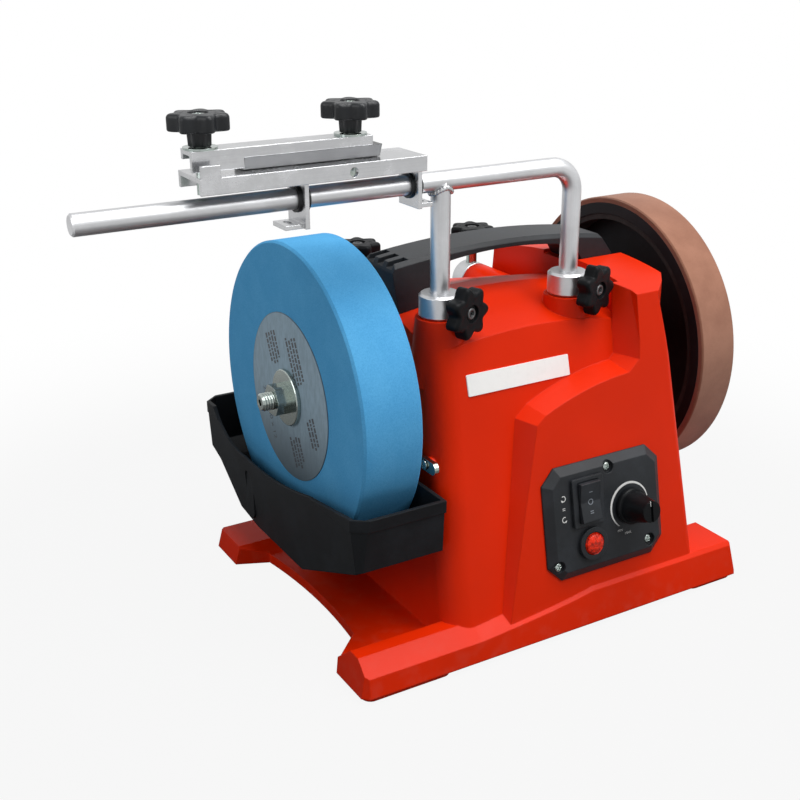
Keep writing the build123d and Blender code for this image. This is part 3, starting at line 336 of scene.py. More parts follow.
def label_finish(colours):
    """Card disc: fibres, a dark cut edge, painted shade towards the bottom, where the card is also less rough."""
    done = Finish("label_card", specular_ior_level=0.35)
    grey = linear(colours.label)
    low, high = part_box("stone_labels")
    rim = (high.z - low.z) / 2.0
    behind, above = done.from_shaft()
    fibre = done.noise(420.0, 4.0, 0.6, done.stretched(1.0, 1.0, 0.35))
    wavy = done.noise(30.0, 4.0) * (20.0 * MM)
    # Painted shade: below a wavy line the card darkens towards a quarter of its grey.
    painted_shade_below = 1.0 - (above + wavy).step(-45.0 * MM, 20.0 * MM)
    cut = (behind * behind + above * above).maths("SQRT").step(rim - 0.7 * MM, rim - 0.1 * MM)
    base = fibre.step(0.3, 0.7).tint(shade(grey, 0.88), shade(grey, 1.08))
    base = (painted_shade_below * 0.86).tint(base, shade(grey, 0.24))
    base = (cut * 0.7).tint(base, shade(grey, 0.3))
    done.set(base_color=base, roughness=0.62 - painted_shade_below * 0.2 + fibre * 0.1)
    done.relief(fibre, depth=0.03 * MM)
    return done.material


def leather_finish(colours):
    """Suede tread: nap, stroked patches, one slanting glued joint, edges darker."""
    done = Finish("leather_suede", sheen_weight=0.25, sheen_roughness=0.6, specular_ior_level=0.2)
    light = linear(colours.leather)
    dark = linear(colours.leather_dark)
    low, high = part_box("leather_tread")
    joint_at, joint_slant = -0.5, 0.12
    behind, above = done.from_shaft()
    angle = above.maths("ARCTAN2", behind)
    nap = done.noise(1300.0, 3.0, 0.7)
    stroked = done.noise(26.0, 6.0, 0.65)
    across = (done.axis("X") - low.x) / (high.x - low.x)
    joint = (angle + across * joint_slant).band(joint_at, 0.003, 0.004)
    edges = (1.0 - across.step(0.0, 0.06)) + across.step(0.94, 1.0)
    worn = (edges * 0.4 + joint * 0.8).maths("MINIMUM", 0.85)
    base = (0.2 + stroked.step(0.36, 0.68) * 0.45 + nap * 0.35).tint(dark, light)
    base = worn.tint(base, shade(dark, 0.5))
    done.set(base_color=base, roughness=0.86 + nap * 0.1)
    done.relief(nap * 0.5 + stroked * 0.5 - joint, depth=0.18 * MM, edge=0.8 * MM)
    return done.material


def drawn_steel(name, colour, streak, wear, gloss):
    """Plated steel: drawing streaks along one direction, faint stains, rounded edges."""
    done = Finish(name, metallic=1.0)
    lines = done.noise(1.0, 3.0, 0.6, done.stretched(*streak))
    stain = done.noise(45.0, 6.0, 0.65)
    base = (lines * 0.5 + stain.step(0.42, 0.7) * 0.5).tint(shade(colour, 0.78), shade(colour, 1.06))
    done.set(base_color=base, roughness=gloss + lines * 0.14 + stain.step(0.5, 0.75) * wear)
    done.relief(lines, depth=0.012 * MM, edge=0.6 * MM)
    return done.material


def rod_finish(colours):
    """Ground rod: streaks run along X on the top run and along Z on the legs."""
    done = Finish("rod_steel", metallic=1.0)
    colour = linear(colours.steel)
    rod_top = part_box("support_bar")[1].z
    top_run = done.axis("Z").step(rod_top - 20.0 * MM, rod_top - 12.0 * MM)
    along_x = done.noise(1.0, 3.0, 0.6, done.stretched(25.0, 1600.0, 1600.0))
    along_z = done.noise(1.0, 3.0, 0.6, done.stretched(1600.0, 1600.0, 25.0))
    lines = along_x * top_run + along_z * (1.0 - top_run)
    stain = done.noise(30.0, 6.0, 0.65)
    base = (lines * 0.6 + stain.step(0.4, 0.7) * 0.4).tint(shade(colour, 0.72), shade(colour, 1.04))
    done.set(base_color=base, roughness=0.3 + lines * 0.14 + stain.step(0.55, 0.75) * 0.1)
    done.relief(lines, depth=0.01 * MM, edge=0.6 * MM)
    return done.material


def zinc_finish(colours):
    """Zinc plating: fine spangle in two greys, passivation tint."""
    done = Finish("zinc_plate", metallic=1.0)
    colour = linear(colours.zinc)
    film_tint = (0.5, 0.52, 0.42, 1.0)
    spangle = done.cells(900.0)
    film = done.noise(160.0, 4.0)
    base = spangle.step(0.1, 0.7).tint(shade(colour, 0.82), shade(colour, 1.05))
    base = (film.step(0.45, 0.7) * 0.25).tint(base, film_tint)
    done.set(base_color=base, roughness=0.1 + film * 0.14)
    done.relief(spangle, depth=0.01 * MM, edge=0.4 * MM)
    return done.material


def rubber_finish(colours):
    """Soft rubber: paler where dust clings, fine pimples."""
    done = Finish("black_rubber", specular_ior_level=0.3)
    black = linear(colours.rubber)
    dusty = done.noise(80.0, 5.0, 0.7)
    done.set(base_color=dusty.step(0.4, 0.75).tint(black, shade(black, 2.2)), roughness=0.7 + dusty * 0.2)
    done.relief(done.noise(1800.0, 2.0), depth=0.04 * MM, edge=0.6 * MM)
    return done.material


def painted(name, colour):
    """Paint or lacquer: cloudy cover with a fine peel."""
    done = Finish(name, specular_ior_level=0.5)
    cloud = done.noise(70.0, 4.0)
    done.set(base_color=cloud.step(0.35, 0.7).tint(shade(colour, 0.8), colour), roughness=0.42 + cloud * 0.15)
    done.relief(done.noise(1300.0, 2.0), depth=0.03 * MM, edge=0.6 * MM)
    return done.material


def cap_finish(colours):
    """Soft glossy cap: clouded colour under a clear coat, small dimples."""
    done = Finish("cap_red", coat_weight=0.15, coat_roughness=0.15, specular_ior_level=0.25)
    red = linear(colours.button)
    cloud = done.noise(330.0, 3.0, 0.6)
    base = cloud.step(0.38, 0.62).tint(shade(red, 0.5), shade(red, 1.15))
    done.set(base_color=base, roughness=0.25 + cloud * 0.2)
    done.relief(cloud, depth=1.2 * MM)
    return done.material


def print_finish(name, colour, wear):
    """Printed ink or bare plate: slightly uneven cover, satin."""
    done = Finish(name, specular_ior_level=0.45)
    cloud = done.noise(260.0, 5.0, 0.6)
    base = (cloud.step(0.45, 0.75) * wear).tint(colour, shade(colour, 0.72))
    done.set(base_color=base, roughness=0.36 + cloud * 0.14)
    done.relief(cloud, depth=0.01 * MM, edge=0.3 * MM)
    return done.material


def plain(make, name, colour, factor=1.0, **values):
    """Maker of a general finish in one of the colour properties, lighter or darker."""
    return lambda colours: make(name, shade(linear(getattr(colours, colour)), factor), **values)


# Plain finishes; a steel's streak is its waves to the metre along X, Y and Z
along_x = (30.0, 1500.0, 1500.0)
sheet_finish = plain(drawn_steel, "jig_plate_steel", "steel", 0.92, streak=along_x, wear=0.12, gloss=0.17)
# Painted shade: bright steel darkened to a fifth, on the jig's jaw and on the screw ends in the clamp and rear
# knobs' hubs.
shaded_steel_finish = plain(drawn_steel, "jaw_steel", "steel", 0.2, streak=along_x, wear=0.1, gloss=0.32)
sleeve_finish = plain(drawn_steel, "sleeve_steel", "steel", 0.07,
                      streak=(500.0, 500.0, 500.0), wear=0.1, gloss=0.34)
collar_finish = plain(drawn_steel, "collar_steel", "steel",
                      streak=(500.0, 500.0, 2200.0), wear=0.1, gloss=0.28)
roller_finish = plain(drawn_steel, "roller_metal", "roller", streak=(60.0, 900.0, 900.0), wear=0.1, gloss=0.3)
bronze_finish = plain(drawn_steel, "bush_bronze", "bronze",
                      streak=(600.0, 600.0, 600.0), wear=0.1, gloss=0.34)
cast_plastic = plain(grained_plastic, "black_plastic", "plastic",
                     grain=1500.0, gloss=0.38, shine=0.32, edge=0.9 * MM)
trough_plastic = plain(grained_plastic, "trough_plastic", "plastic", 0.6,
                       grain=1100.0, gloss=0.46, shine=0.16, edge=1.0 * MM)
knob_plastic = plain(grained_plastic, "knob_plastic", "plastic", 0.7,
                     grain=2200.0, gloss=0.3, shine=0.34, edge=0.6 * MM)
clamp_plastic = plain(grained_plastic, "clamp_plastic", "plastic", 0.3,
                      grain=2200.0, gloss=0.34, shine=0.1, edge=0.6 * MM)
dial_plastic = plain(grained_plastic, "dial_plastic", "plastic", 0.3,
                     grain=2600.0, gloss=0.26, shine=0.12, edge=0.5 * MM)
board_finish = plain(painted, "board_green", "board")
motor_finish = plain(painted, "motor_paint", "motor")
white_ink = plain(print_finish, "white_ink", "marks", wear=0.35)
plate_white = plain(print_finish, "plate_white", "marks", 1.2, wear=0.12)
dark_ink = plain(print_finish, "dark_ink", "label_ink", wear=0.4)
sign_grey = plain(print_finish, "sign_grey", "signs", wear=0.3)

slot_finishes = {
    "red_cover": cover_finish, "black_plastic": cast_plastic, "trough_plastic": trough_plastic,
    "knob_plastic": knob_plastic, "dial_plastic": dial_plastic, "red_button": cap_finish,
    "blue_stone": stone_finish, "label_card": label_finish, "leather": leather_finish,
    "rubber": rubber_finish, "bright_steel": rod_finish, "jig_steel": sheet_finish,
    "zinc_steel": zinc_finish, "motor_steel": motor_finish, "roller_metal": roller_finish,
    "bronze": bronze_finish, "board": board_finish,
}
node_finishes = {
    "front_collar_left": collar_finish, "front_collar_right": collar_finish,
    "rear_collar_left": collar_finish, "rear_collar_right": collar_finish,
    "jig_jaw": shaded_steel_finish, "jig_bushes": sleeve_finish, "rocker": cast_plastic, "honing_core": trough_plastic,
}
made_finishes = {}


def finish(maker, colours):
    """The material that a maker gives, made once."""
    if maker not in made_finishes:
        made_finishes[maker] = maker(colours)
    return made_finishes[maker]


# Surfaces

def grid_faces(rows, columns, round_rows, round_columns):
    """Quads of a grid; a round direction joins its last line to its first."""
    i, j = np.meshgrid(np.arange(rows if round_rows else rows - 1),
                       np.arange(columns if round_columns else columns - 1), indexing="ij")
    i, j = i.ravel(), j.ravel()
    k, n = (i + 1) % rows, (j + 1) % columns
    return np.stack([i * columns + j, i * columns + n, k * columns + n, k * columns + j], axis=1)


def surface(name, grids, material, body, replaced=(),
            round_rows=False, round_columns=True, smooth=True):
    """Object made of one or more grids of points, doubles merged and faces turned outwards."""
    touching, sliver = 1e-7, 1e-8
    points, faces, start = [], [], 0
    for grid in grids:
        rows, columns = grid.shape[:2]
        points.append(grid.reshape(-1, 3))
        faces.append(grid_faces(rows, columns, round_rows, round_columns) + start)
        start += rows * columns
    mesh = bpy.data.meshes.new(name)
    mesh.from_pydata(np.concatenate(points).tolist(), [], np.concatenate(faces).tolist())
    work = bmesh.new()
    work.from_mesh(mesh)
    bmesh.ops.remove_doubles(work, verts=work.verts, dist=touching)
    bmesh.ops.dissolve_degenerate(work, edges=work.edges, dist=sliver)
    bmesh.ops.recalc_face_normals(work, faces=work.faces)
    work.to_mesh(mesh)
    work.free()
    mesh.polygons.foreach_set("use_smooth", np.full(len(mesh.polygons), smooth))
    if smooth:
        mesh.set_sharp_from_angle(angle=SHARP_ANGLE)
    return carry(name, mesh, material, body, replaced)


def linked(name, data):
    """A new object in the scene."""
    made = bpy.data.objects.new(name, data)
    bpy.context.scene.collection.objects.link(made)
    return made


def carry(name, mesh, material, body, replaced=()):
    """Put a finished mesh in the scene, give it its finish and let it ride on its body."""
    mesh.materials.append(material)
    piece = linked(name, mesh)
    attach(piece, body)
    if replaced:
        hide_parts(*replaced)
    return piece


def mesh_points(mesh):
    flat = np.empty(3 * len(mesh.vertices))
    mesh.vertices.foreach_get("co", flat)
    return flat.reshape(-1, 3)


def turned_frame(axis):
    """Two directions across an axis, as the rows of a frame with the axis last."""
    out = np.array(axis, float) / np.linalg.norm(axis)
    side = np.cross((0.0, 0.0, 1.0) if abs(out[2]) < 0.9 else (1.0, 0.0, 0.0), out)
    side /= np.linalg.norm(side)
    return np.stack([side, np.cross(out, side), out])


def along(node, origin, axis):
    """Lowest and highest place of a node along an axis, and its greatest distance from that axis."""
    local = (mesh_points(frame["nodes"][node].data) - np.array(origin)) @ turned_frame(axis).T
    return local[:, 2].min(), local[:, 2].max(), np.hypot(local[:, 0], local[:, 1]).max()


def standing(local, origin, axes):
    """Points given along three axes from an origin."""
    return np.asarray(origin) + local @ axes


def full_turn(count):
    return np.linspace(0.0, 2 * pi, count, endpoint=False)


def round_axis(height, reach, angle, origin, axis):
    """Points at a height along an axis and a reach from it, each at its angle round it."""
    local = np.stack(np.broadcast_arrays(reach * np.cos(angle), reach * np.sin(angle), height), axis=2)
    return standing(local, origin, turned_frame(axis))


def turned(profile, origin, axis, columns, lobes=0, lobe_depth=0.0):
    """Profile carried round an axis. Each profile point is height, radius and lobe share; the radius falls by
    share times lobe_depth times (1 - cos(lobes * angle)) / 2, so that it bulges once for each lobe."""
    height, radius, share = np.array([(*point, 0.0)[:3] for point in profile], float).T[:, :, None]
    angle = full_turn(columns)[None, :]
    reach = radius - share * lobe_depth * (1.0 - np.cos(lobes * angle)) / 2.0
    return round_axis(height, reach, angle, origin, axis)


def arc_points(height, reach, radius, start, end, count):
    """Profile points of an arc round a centre, all with the full lobe share; the angles are in degrees, from
    straight outwards at 0 to straight up at 90."""
    angle = np.radians(np.linspace(start, end, count))
    points = [height + radius * np.sin(angle), reach + radius * np.cos(angle), np.ones(count)]
    return np.stack(points, axis=1).tolist()


def rounded(corners, radius, count):
    """Closed outline with right-angled corners, each rounded by an arc. With a and b the ways from a corner
    to its neighbours, it is corner + radius * (a * (1 - sin(t)) + b * (1 - cos(t))) for t from 0 to 90
    degrees."""
    def way(other):
        run = other - corners
        return (run / np.linalg.norm(run, axis=1, keepdims=True))[:, None, :]
    before, after = way(np.roll(corners, 1, axis=0)), way(np.roll(corners, -1, axis=0))
    turn = np.linspace(0.0, pi / 2, count)[None, :, None]
    arcs = corners[:, None, :] + radius * (before * (1.0 - np.sin(turn)) + after * (1.0 - np.cos(turn)))
    return arcs.reshape(-1, 2)


def level(x, y):
    """Height of a flat face."""
    return np.zeros_like(x)


def band(centre, radius, start, end, width, columns, lift=level):
    """Flat stroke along an arc: the angle runs from start to end in degrees, and the two edges stand half of
    width(share) each side of the radius. Local points have x across, y up and z from lift(x, y)."""
    share = np.linspace(0.0, 1.0, columns)
    angle = np.radians(start + (end - start) * share)
    half = width(share) / 2.0
    edge = np.stack([radius - half, radius + half])
    x = centre[0] + edge * np.cos(angle)
    y = centre[1] + edge * np.sin(angle)
    return np.stack([x, y, lift(x, y)], axis=2)


def stroke(start, end, width, lift=level, columns=9):
    """Flat straight line from start to end with square ends, standing at lift(x, y)."""
    start, end = np.array(start, float), np.array(end, float)
    run = (end - start) / np.linalg.norm(end - start)
    side = np.array((-run[1], run[0])) * width / 2.0
    middle = start + np.linspace(0.0, 1.0, columns)[:, None] * (end - start)
    x, y = np.moveaxis(np.stack([middle - side, middle + side]), 2, 0)
    return np.stack([x, y, lift(x, y)], axis=2)


def steady(width):
    """The same width all along a stroke."""
    return lambda share: np.full_like(share, width)


def arrow_width(line, head, share_of_head):
    """Width along an arrow: the line's width, then a head that tapers to a point at the end."""
    def width(share):
        tip = np.clip((1.0 - share) / share_of_head, 0.0, 1.0)
        return np.where(share < 1.0 - share_of_head, line, head * tip)
    return width


def ink(name, grids, plane, material, body):
    """Printed marks: open grids laid on a plane, an origin and its axes, with their faces looking out."""
    placed = [standing(grid, *plane) for grid in grids]
    piece = surface(name, placed, material, body, round_columns=False, smooth=False)
    out = Vector(plane[1][2])
    work = bmesh.new()
    work.from_mesh(piece.data)
    bmesh.ops.reverse_faces(work, faces=[face for face in work.faces if face.normal.dot(out) < 0.0])
    work.to_mesh(piece.data)
    work.free()


def words(name, text, height, middle, plane, material, body, slot):
    """Flat lettering on a plane, centred on a place."""
    curve = bpy.data.curves.new(name, "FONT")
    curve.body = text
    curve.size = height
    curve.align_x = "CENTER"
    curve.align_y = "CENTER"
    holder = linked(name, curve)
    bpy.context.view_layer.update()
    mesh = bpy.data.meshes.new_from_object(holder.evaluated_get(bpy.context.evaluated_depsgraph_get()))
    bpy.data.objects.remove(holder)
    local = mesh_points(mesh) + np.array((*middle, 0.0))
    mesh.vertices.foreach_set("co", standing(local, *plane).ravel())
    mesh.update()
    mesh.materials.clear()
    carry(name, mesh, material, body)


def settings(context):
    scene = context.scene
    return scene.sharpener_colours, scene.sharpener_sizes, scene.sharpener_studio


# Operators

class SHARPENER_OT_finish_solids(Operator):
    """Give every solid of the frame the finish of its material slot"""

    bl_idname = "sharpener.finish_solids"
    bl_label = "Finish the solids"

    def execute(self, context):
        colours, _, _ = settings(context)
        slots = {part["node"]: part["material_slot"] for part in frame["record"]["subparts"]}
        for name, solid in frame["nodes"].items():
            maker = node_finishes.get(name, slot_finishes[slots[name]])
            solid.data.materials.clear()
            solid.data.materials.append(finish(maker, colours))
        return {"FINISHED"}


class SHARPENER_OT_main_shaft(Operator):
    """Turned shaft with a cut thread and a centre hole at each end"""

    bl_idname = "sharpener.main_shaft"
    bl_label = "Main shaft"

    def execute(self, context):
        colours, sizes, _ = settings(context)
        radius = 6.0 * MM
        left, right, collar = along("main_shaft", shaft_at, shaft_way)
        collars = ((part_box("stone_flange")[1].x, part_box("bush_left")[0].x),
                   (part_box("bush_right")[1].x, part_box("honing_core")[0].x))
        profile = np.concatenate([
            self.end(left, 1.0, radius, sizes.thread_pitch),
            *[self.collar(start, stop, radius, collar) for start, stop in collars],
            self.end(right, -1.0, radius, sizes.thread_pitch)[::-1],
        ])
        height, bare, cut = profile.T[:, :, None]
        # The thread takes depth * |2 * phase - 1| off the radius. The phase is how far height / pitch, less
        # the share of a turn, is past a whole number.
        angle = full_turn(72)[None, :]
        phase = (height / sizes.thread_pitch - angle / (2 * pi)) % 1.0
        groove = sizes.thread_depth * np.abs(2.0 * phase - 1.0) * cut
        grid = round_axis(height, bare - groove, angle, shaft_at, shaft_way)
        metal = finish(zinc_finish, colours)
        surface("shaft_turned", [grid], metal, "spindle", ("main_shaft",))
        return {"FINISHED"}

    def end(self, tip, inward, radius, pitch):
        """Rows of height, radius and thread share, from the floor of the centre hole to the thread's end."""
        hole_radius, hole_depth = 2.2 * MM, 4.0 * MM
        chamfer = 1.2 * MM
        thread_run = 13.0 * MM
        rows_in_turn = 12
        count = rows_in_turn * round(thread_run / pitch)
        depth = np.concatenate([[hole_depth, hole_depth, 0.0, 0.0], np.linspace(chamfer, thread_run, count)])
        bare = np.concatenate([[0.0, hole_radius, hole_radius, radius - chamfer], np.full(count, radius)])
        share = np.concatenate([np.zeros(4), np.ones(count - 1), [0.0]])
        return np.stack([tip + inward * depth, bare, share], axis=1)

    def collar(self, start, stop, radius, reach):
        """Rows of height, radius and thread share, out to a collar and back to the bare shaft."""
        return np.array(((start, radius, 0.0), (start, reach, 0.0), (stop, reach, 0.0), (stop, radius, 0.0)))


class SHARPENER_OT_star_knobs(Operator):
    """Seven-lobed knobs with rounded arms, a dished hub and the end of their screw"""

    bl_idname = "sharpener.star_knobs"
    bl_label = "Star knobs"

    def execute(self, context):
        colours, sizes, _ = settings(context)
        # The clamp and rear knobs' screw ends take the painted shade steel, standing for the shade in their hub
        # holes.
        groups = (("jig_knob", knob_plastic, zinc_finish), ("clamp_knob", clamp_plastic, shaded_steel_finish),
                  ("rear_knob", clamp_plastic, shaded_steel_finish))
        for group, plastic, metal in groups:
            for side in ("left", "right"):
                node = f"{group}_{side}"
                joint = joints[f"{node}_turn"]
                foot, top, reach = along(node, joint["pos_m"], joint["axis"])
                self.knob(node, joint, foot, top, reach, finish(plastic, colours), sizes)
                self.screw_end(node, joint, top, finish(metal, colours))
        return {"FINISHED"}

    def knob(self, node, joint, foot, top, reach, plastic, sizes):
        """Turned profile from the stem's foot over the rim of the head to the hole above the screw."""
        lobes = 7
        head = top - 9.0 * MM
        bore, stem, taper, neck = 4.2 * MM, 6.2 * MM, 0.4 * MM, 7.6 * MM
        low_round, high_round = 1.2 * MM, 2.4 * MM
        hole, hole_depth = 5.6 * MM, 1.7 * MM
        dish = 0.3 * MM
        profile = [(foot, bore), (foot, stem - taper, 0.2), (foot + taper, stem, 0.24),
                   (head - 0.5 * MM, stem + taper, 0.26), (head, neck, 0.3), (head, reach - 4.0 * MM, 0.8)]
        profile += arc_points(head + low_round, reach - low_round, low_round, -90, 0, count=5)
        profile += arc_points(top - high_round, reach - high_round, high_round, 0, 78, count=9)
        profile += [(top, reach - 4.6 * MM, 0.82), (top - dish, reach - 7.5 * MM, 0.25), (top, stem),
                    (top, hole), (top - hole_depth, hole - taper), (top - hole_depth, 0.0)]
        grid = turned(profile, joint["pos_m"], joint["axis"], sizes.columns, lobes, sizes.lobe_depth)
        surface(f"{node}_star", [grid], plastic, node, (node,))

    def screw_end(self, node, joint, top, metal):
        """Turned profile of a chamfered rod end with a socket in it."""
        floor = top - 1.9 * MM
        tip = floor + 1.3 * MM
        socket_floor = floor + 0.2 * MM
        radius, socket = 3.6 * MM, 2.1 * MM
        profile = [(floor, radius), (tip - 0.4 * MM, radius), (tip, radius - 0.5 * MM), (tip, socket),
                   (socket_floor, socket - 0.2 * MM), (socket_floor, 0.0)]
        grid = turned(profile, joint["pos_m"], joint["axis"], columns=36)
        surface(f"{node}_screw_end", [grid], metal, node)


class SHARPENER_OT_speed_dial(Operator):
    """White line in the dial's pointer groove, and the scale printed round the dial"""

    bl_idname = "sharpener.speed_dial"
    bl_label = "Speed dial"

    def execute(self, context):
        colours, sizes, _ = settings(context)
        white = finish(white_ink, colours)
        _, top, reach = along("speed_knob", dial_at, panel_out)
        groove_depth, groove_width = 1.2 * MM, 1.2 * MM
        groove = (dial_at + panel_out * (top - groove_depth + sizes.print_lift), panel_axes)
        pointer_start, pointer_end = 0.28 * reach, 0.56 * reach
        pointer = stroke((0.0, pointer_start), (0.0, pointer_end), groove_width)
        ink("dial_pointer", [pointer], groove, white, "speed_knob")
        face = (dial_at + panel_out * sizes.print_lift, panel_axes)
        scale_start, scale_end = 232, 12
        wedge = band((0.0, 0.0), sizes.scale_radius, scale_start, scale_end, self.scale_width, columns=120)
        ink("dial_scale", [wedge], face, white, "housing")
        letter = 2.4 * MM
        for text, place in (("MIN", (-9.0 * MM, -15.2 * MM)), ("MAX", (-2.8 * MM, -18.0 * MM))):
            words(f"dial_{text.lower()}", text, letter, place, face, white, "housing", "black_plastic")
        return {"FINISHED"}

    def scale_width(self, share):
        """Width along the scale: thin at its ends, and thicker by a half wave between them."""
        return (0.6 + 1.1 * np.sin(pi * share)) * MM


class SHARPENER_OT_switch_marks(Operator):
    """Signs moulded on the rocker, and the turning signs printed beside it"""

    bl_idname = "sharpener.switch_marks"
    bl_label = "Switch marks"

    def execute(self, context):
        colours, sizes, _ = settings(context)
        line = sizes.mark_width
        ring = 1.7 * MM
        self.rocker_signs(line, ring, sizes.print_lift, finish(sign_grey, colours))
        self.turning_signs(line, ring, sizes.print_lift, finish(white_ink, colours))
        return {"FINISHED"}

    def rocker_signs(self, line, ring, print_lift, grey):
        """Ring in the middle, one stroke above it and two below."""
        hollow = 1.4 * MM
        slope = 2.0 / 13.0
        half = 1.3 * MM

        def on_rocker(x, y):
            """Height of the rocker's V-shaped face above its pivot."""
            return hollow + slope * np.abs(y) + print_lift

        signs = [band((0.0, 0.0), ring, 0, 360, steady(line), columns=49, lift=on_rocker)]
        for up in (6.6 * MM, -6.0 * MM, -7.3 * MM):
            signs.append(stroke((-half, up), (half, up), line, on_rocker))
        ink("rocker_signs", signs, (rocker_at, panel_axes), grey, "rocker")

    def turning_signs(self, line, ring, print_lift, white):
        """Two bent arrows with two short strokes between them, in one column."""
        face = rocker_at + panel_out * (np.dot(dial_at - rocker_at, panel_out) + print_lift)
        column = -18.4 * MM
        half = 1.0 * MM
        arrow = arrow_width(line, head=2.8 * line, share_of_head=0.22)
        signs = []
        for up, start, end in ((5.1 * MM, 120, -170), (-8.5 * MM, 60, 350)):
            signs.append(band((column, up), ring, start, end, arrow, columns=60))
        for up in (-1.2 * MM, -2.3 * MM):
            signs.append(stroke((column - half, up), (column + half, up), line * 0.8))
        ink("turning_signs", signs, (face, panel_axes), white, "housing")


class SHARPENER_OT_reset_cap(Operator):
    """Soft domed cap over the reset button"""

    bl_idname = "sharpener.reset_cap"
    bl_label = "Reset cap"

    def execute(self, context):
        colours, _, _ = settings(context)
        low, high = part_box("reset_button")
        middle = np.array((low + high) / 2.0)
        foot, top, reach = along("reset_button", middle, panel_out)
        crown = 1.6 * MM
        rim = top - crown
        # A wall, a small groove inside its rim, and a dome that falls by the square of the distance.
        dome = [(top - crown * share * share, 0.86 * reach * share) for share in np.linspace(1.0, 0.0, 14)]
        profile = [(foot, 0.0), (foot, reach), (rim - 1.4 * MM, reach), (rim - 0.4 * MM, 0.97 * reach),
                   (rim - 0.8 * MM, 0.9 * reach), *dome]
        grid = turned(profile, middle, panel_out, columns=72)
        red = finish(cap_finish, colours)
        surface("reset_cap", [grid], red, "reset_button", ("reset_button",))
        return {"FINISHED"}


class SHARPENER_OT_screw_heads(Operator):
    """Domed heads with a cross recess for the panel and the trough strips"""

    bl_idname = "sharpener.screw_heads"
    bl_label = "Screw heads"

    def execute(self, context):
        colours, _, _ = settings(context)
        zinc = finish(zinc_finish, colours)
        turn_between = 40.0
        for node, axis, turn in (("panel_screws", panel_out, 25.0), ("strip_screws", (-1.0, 0.0, 0.0), 60.0)):
            grids = []
            for points in self.clusters(node, axis):
                grids.append(self.head(points, axis, radians(turn + turn_between * len(grids))))
            surface(node.replace("screws", "screw_heads"), grids, zinc, "housing", (node,))
        return {"FINISHED"}

    def clusters(self, node, axis):
        """Points of a node, parted into its screws by where they stand across the axis."""
        widest_screw = 9.0 * MM
        points = mesh_points(frame["nodes"][node].data)
        across = points @ turned_frame(axis)[:2].T
        parts = []
        left = np.ones(len(points), bool)
        while left.any():
            seed = across[left][0]
            near = left & (np.linalg.norm(across - seed, axis=1) < widest_screw)
            parts.append(points[near])
            left &= ~near
        return parts

    def head(self, points, axis, turn):
        """Grid over radius and angle: a dome of height h(1 - (r/R)^2.6), less a cross-shaped recess with
        sloping sides, closed by a short side wall."""
        axes = turned_frame(axis)
        local = points @ axes.T
        high = local.max(axis=0)
        middle = np.array((*((high + local.min(axis=0)) / 2.0)[:2], high[2]))
        reach = np.ptp(local[:, 0]) / 2.0
        dome, recess, thick = 0.5 * MM, 0.9 * MM, 1.3 * MM
        arm_half, arm_reach = 0.14 * reach, 0.62 * reach
        radius = np.linspace(0.0, reach, 26)[:, None]
        angle = full_turn(96)[None, :]
        x, y = np.abs(radius * np.cos(angle - turn)), np.abs(radius * np.sin(angle - turn))
        slot = np.clip((arm_half - np.minimum(x, y)) / (0.06 * reach) + 0.5, 0.0, 1.0)
        slot = slot * np.clip((arm_reach - np.maximum(x, y)) / (0.1 * reach) + 0.5, 0.0, 1.0)
        height = dome * (1.0 - (radius / reach) ** 2.6) - recess * slot - dome
        face = np.stack([radius * np.cos(angle), radius * np.sin(angle), height], axis=2)
        wall = face[-1:].copy()
        wall[..., 2] = -thick
        back = wall * np.array((0.0, 0.0, 1.0))
        return standing(np.concatenate([face, wall, back]) + middle, (0.0, 0.0, 0.0), axes)


class SHARPENER_OT_weld_bead(Operator):
    """Rippled bead where the second leg meets the support bar"""

    bl_idname = "sharpener.weld_bead"
    bl_label = "Weld bead"

    def execute(self, context):
        colours, sizes, _ = settings(context)
        low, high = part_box("bar_leg")
        radius = (high.x - low.x) / 2.0
        rod_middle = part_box("support_bar")[1].z - radius
        centre = np.array(((low.x + high.x) / 2.0, (low.y + high.y) / 2.0, rod_middle))
        grid = self.bead(radius, sizes.bead_radius) + centre
        metal = finish(sheet_finish, colours)
        surface("weld_bead", [grid], metal, "support_bar", round_rows=True)
        return {"FINISHED"}

    def bead(self, radius, thickness):
        """Squashed ring round the leg. Its middle follows the saddle where two like rods meet, which is
        sqrt((wide * cos(turn))^2 + narrow^2) below the rod's middle, and two waves along it make ripples."""
        turn = full_turn(160)[:, None]
        angle = full_turn(14)[None, :]
        wide, narrow, drop = 0.93 * radius, 0.36 * radius, 0.4 * MM
        thick = thickness * (1.0 + 0.10 * np.sin(26.0 * turn) + 0.07 * np.sin(7.0 * turn + 1.0))
        ring = radius + 0.35 * thick + 0.62 * thick * np.cos(angle)
        saddle = -np.sqrt((wide * np.cos(turn)) ** 2 + narrow ** 2) - drop
        height = saddle + 0.9 * thick * np.sin(angle) - 0.3 * thick
        return np.stack([ring * np.cos(turn), ring * np.sin(turn), height], axis=2)


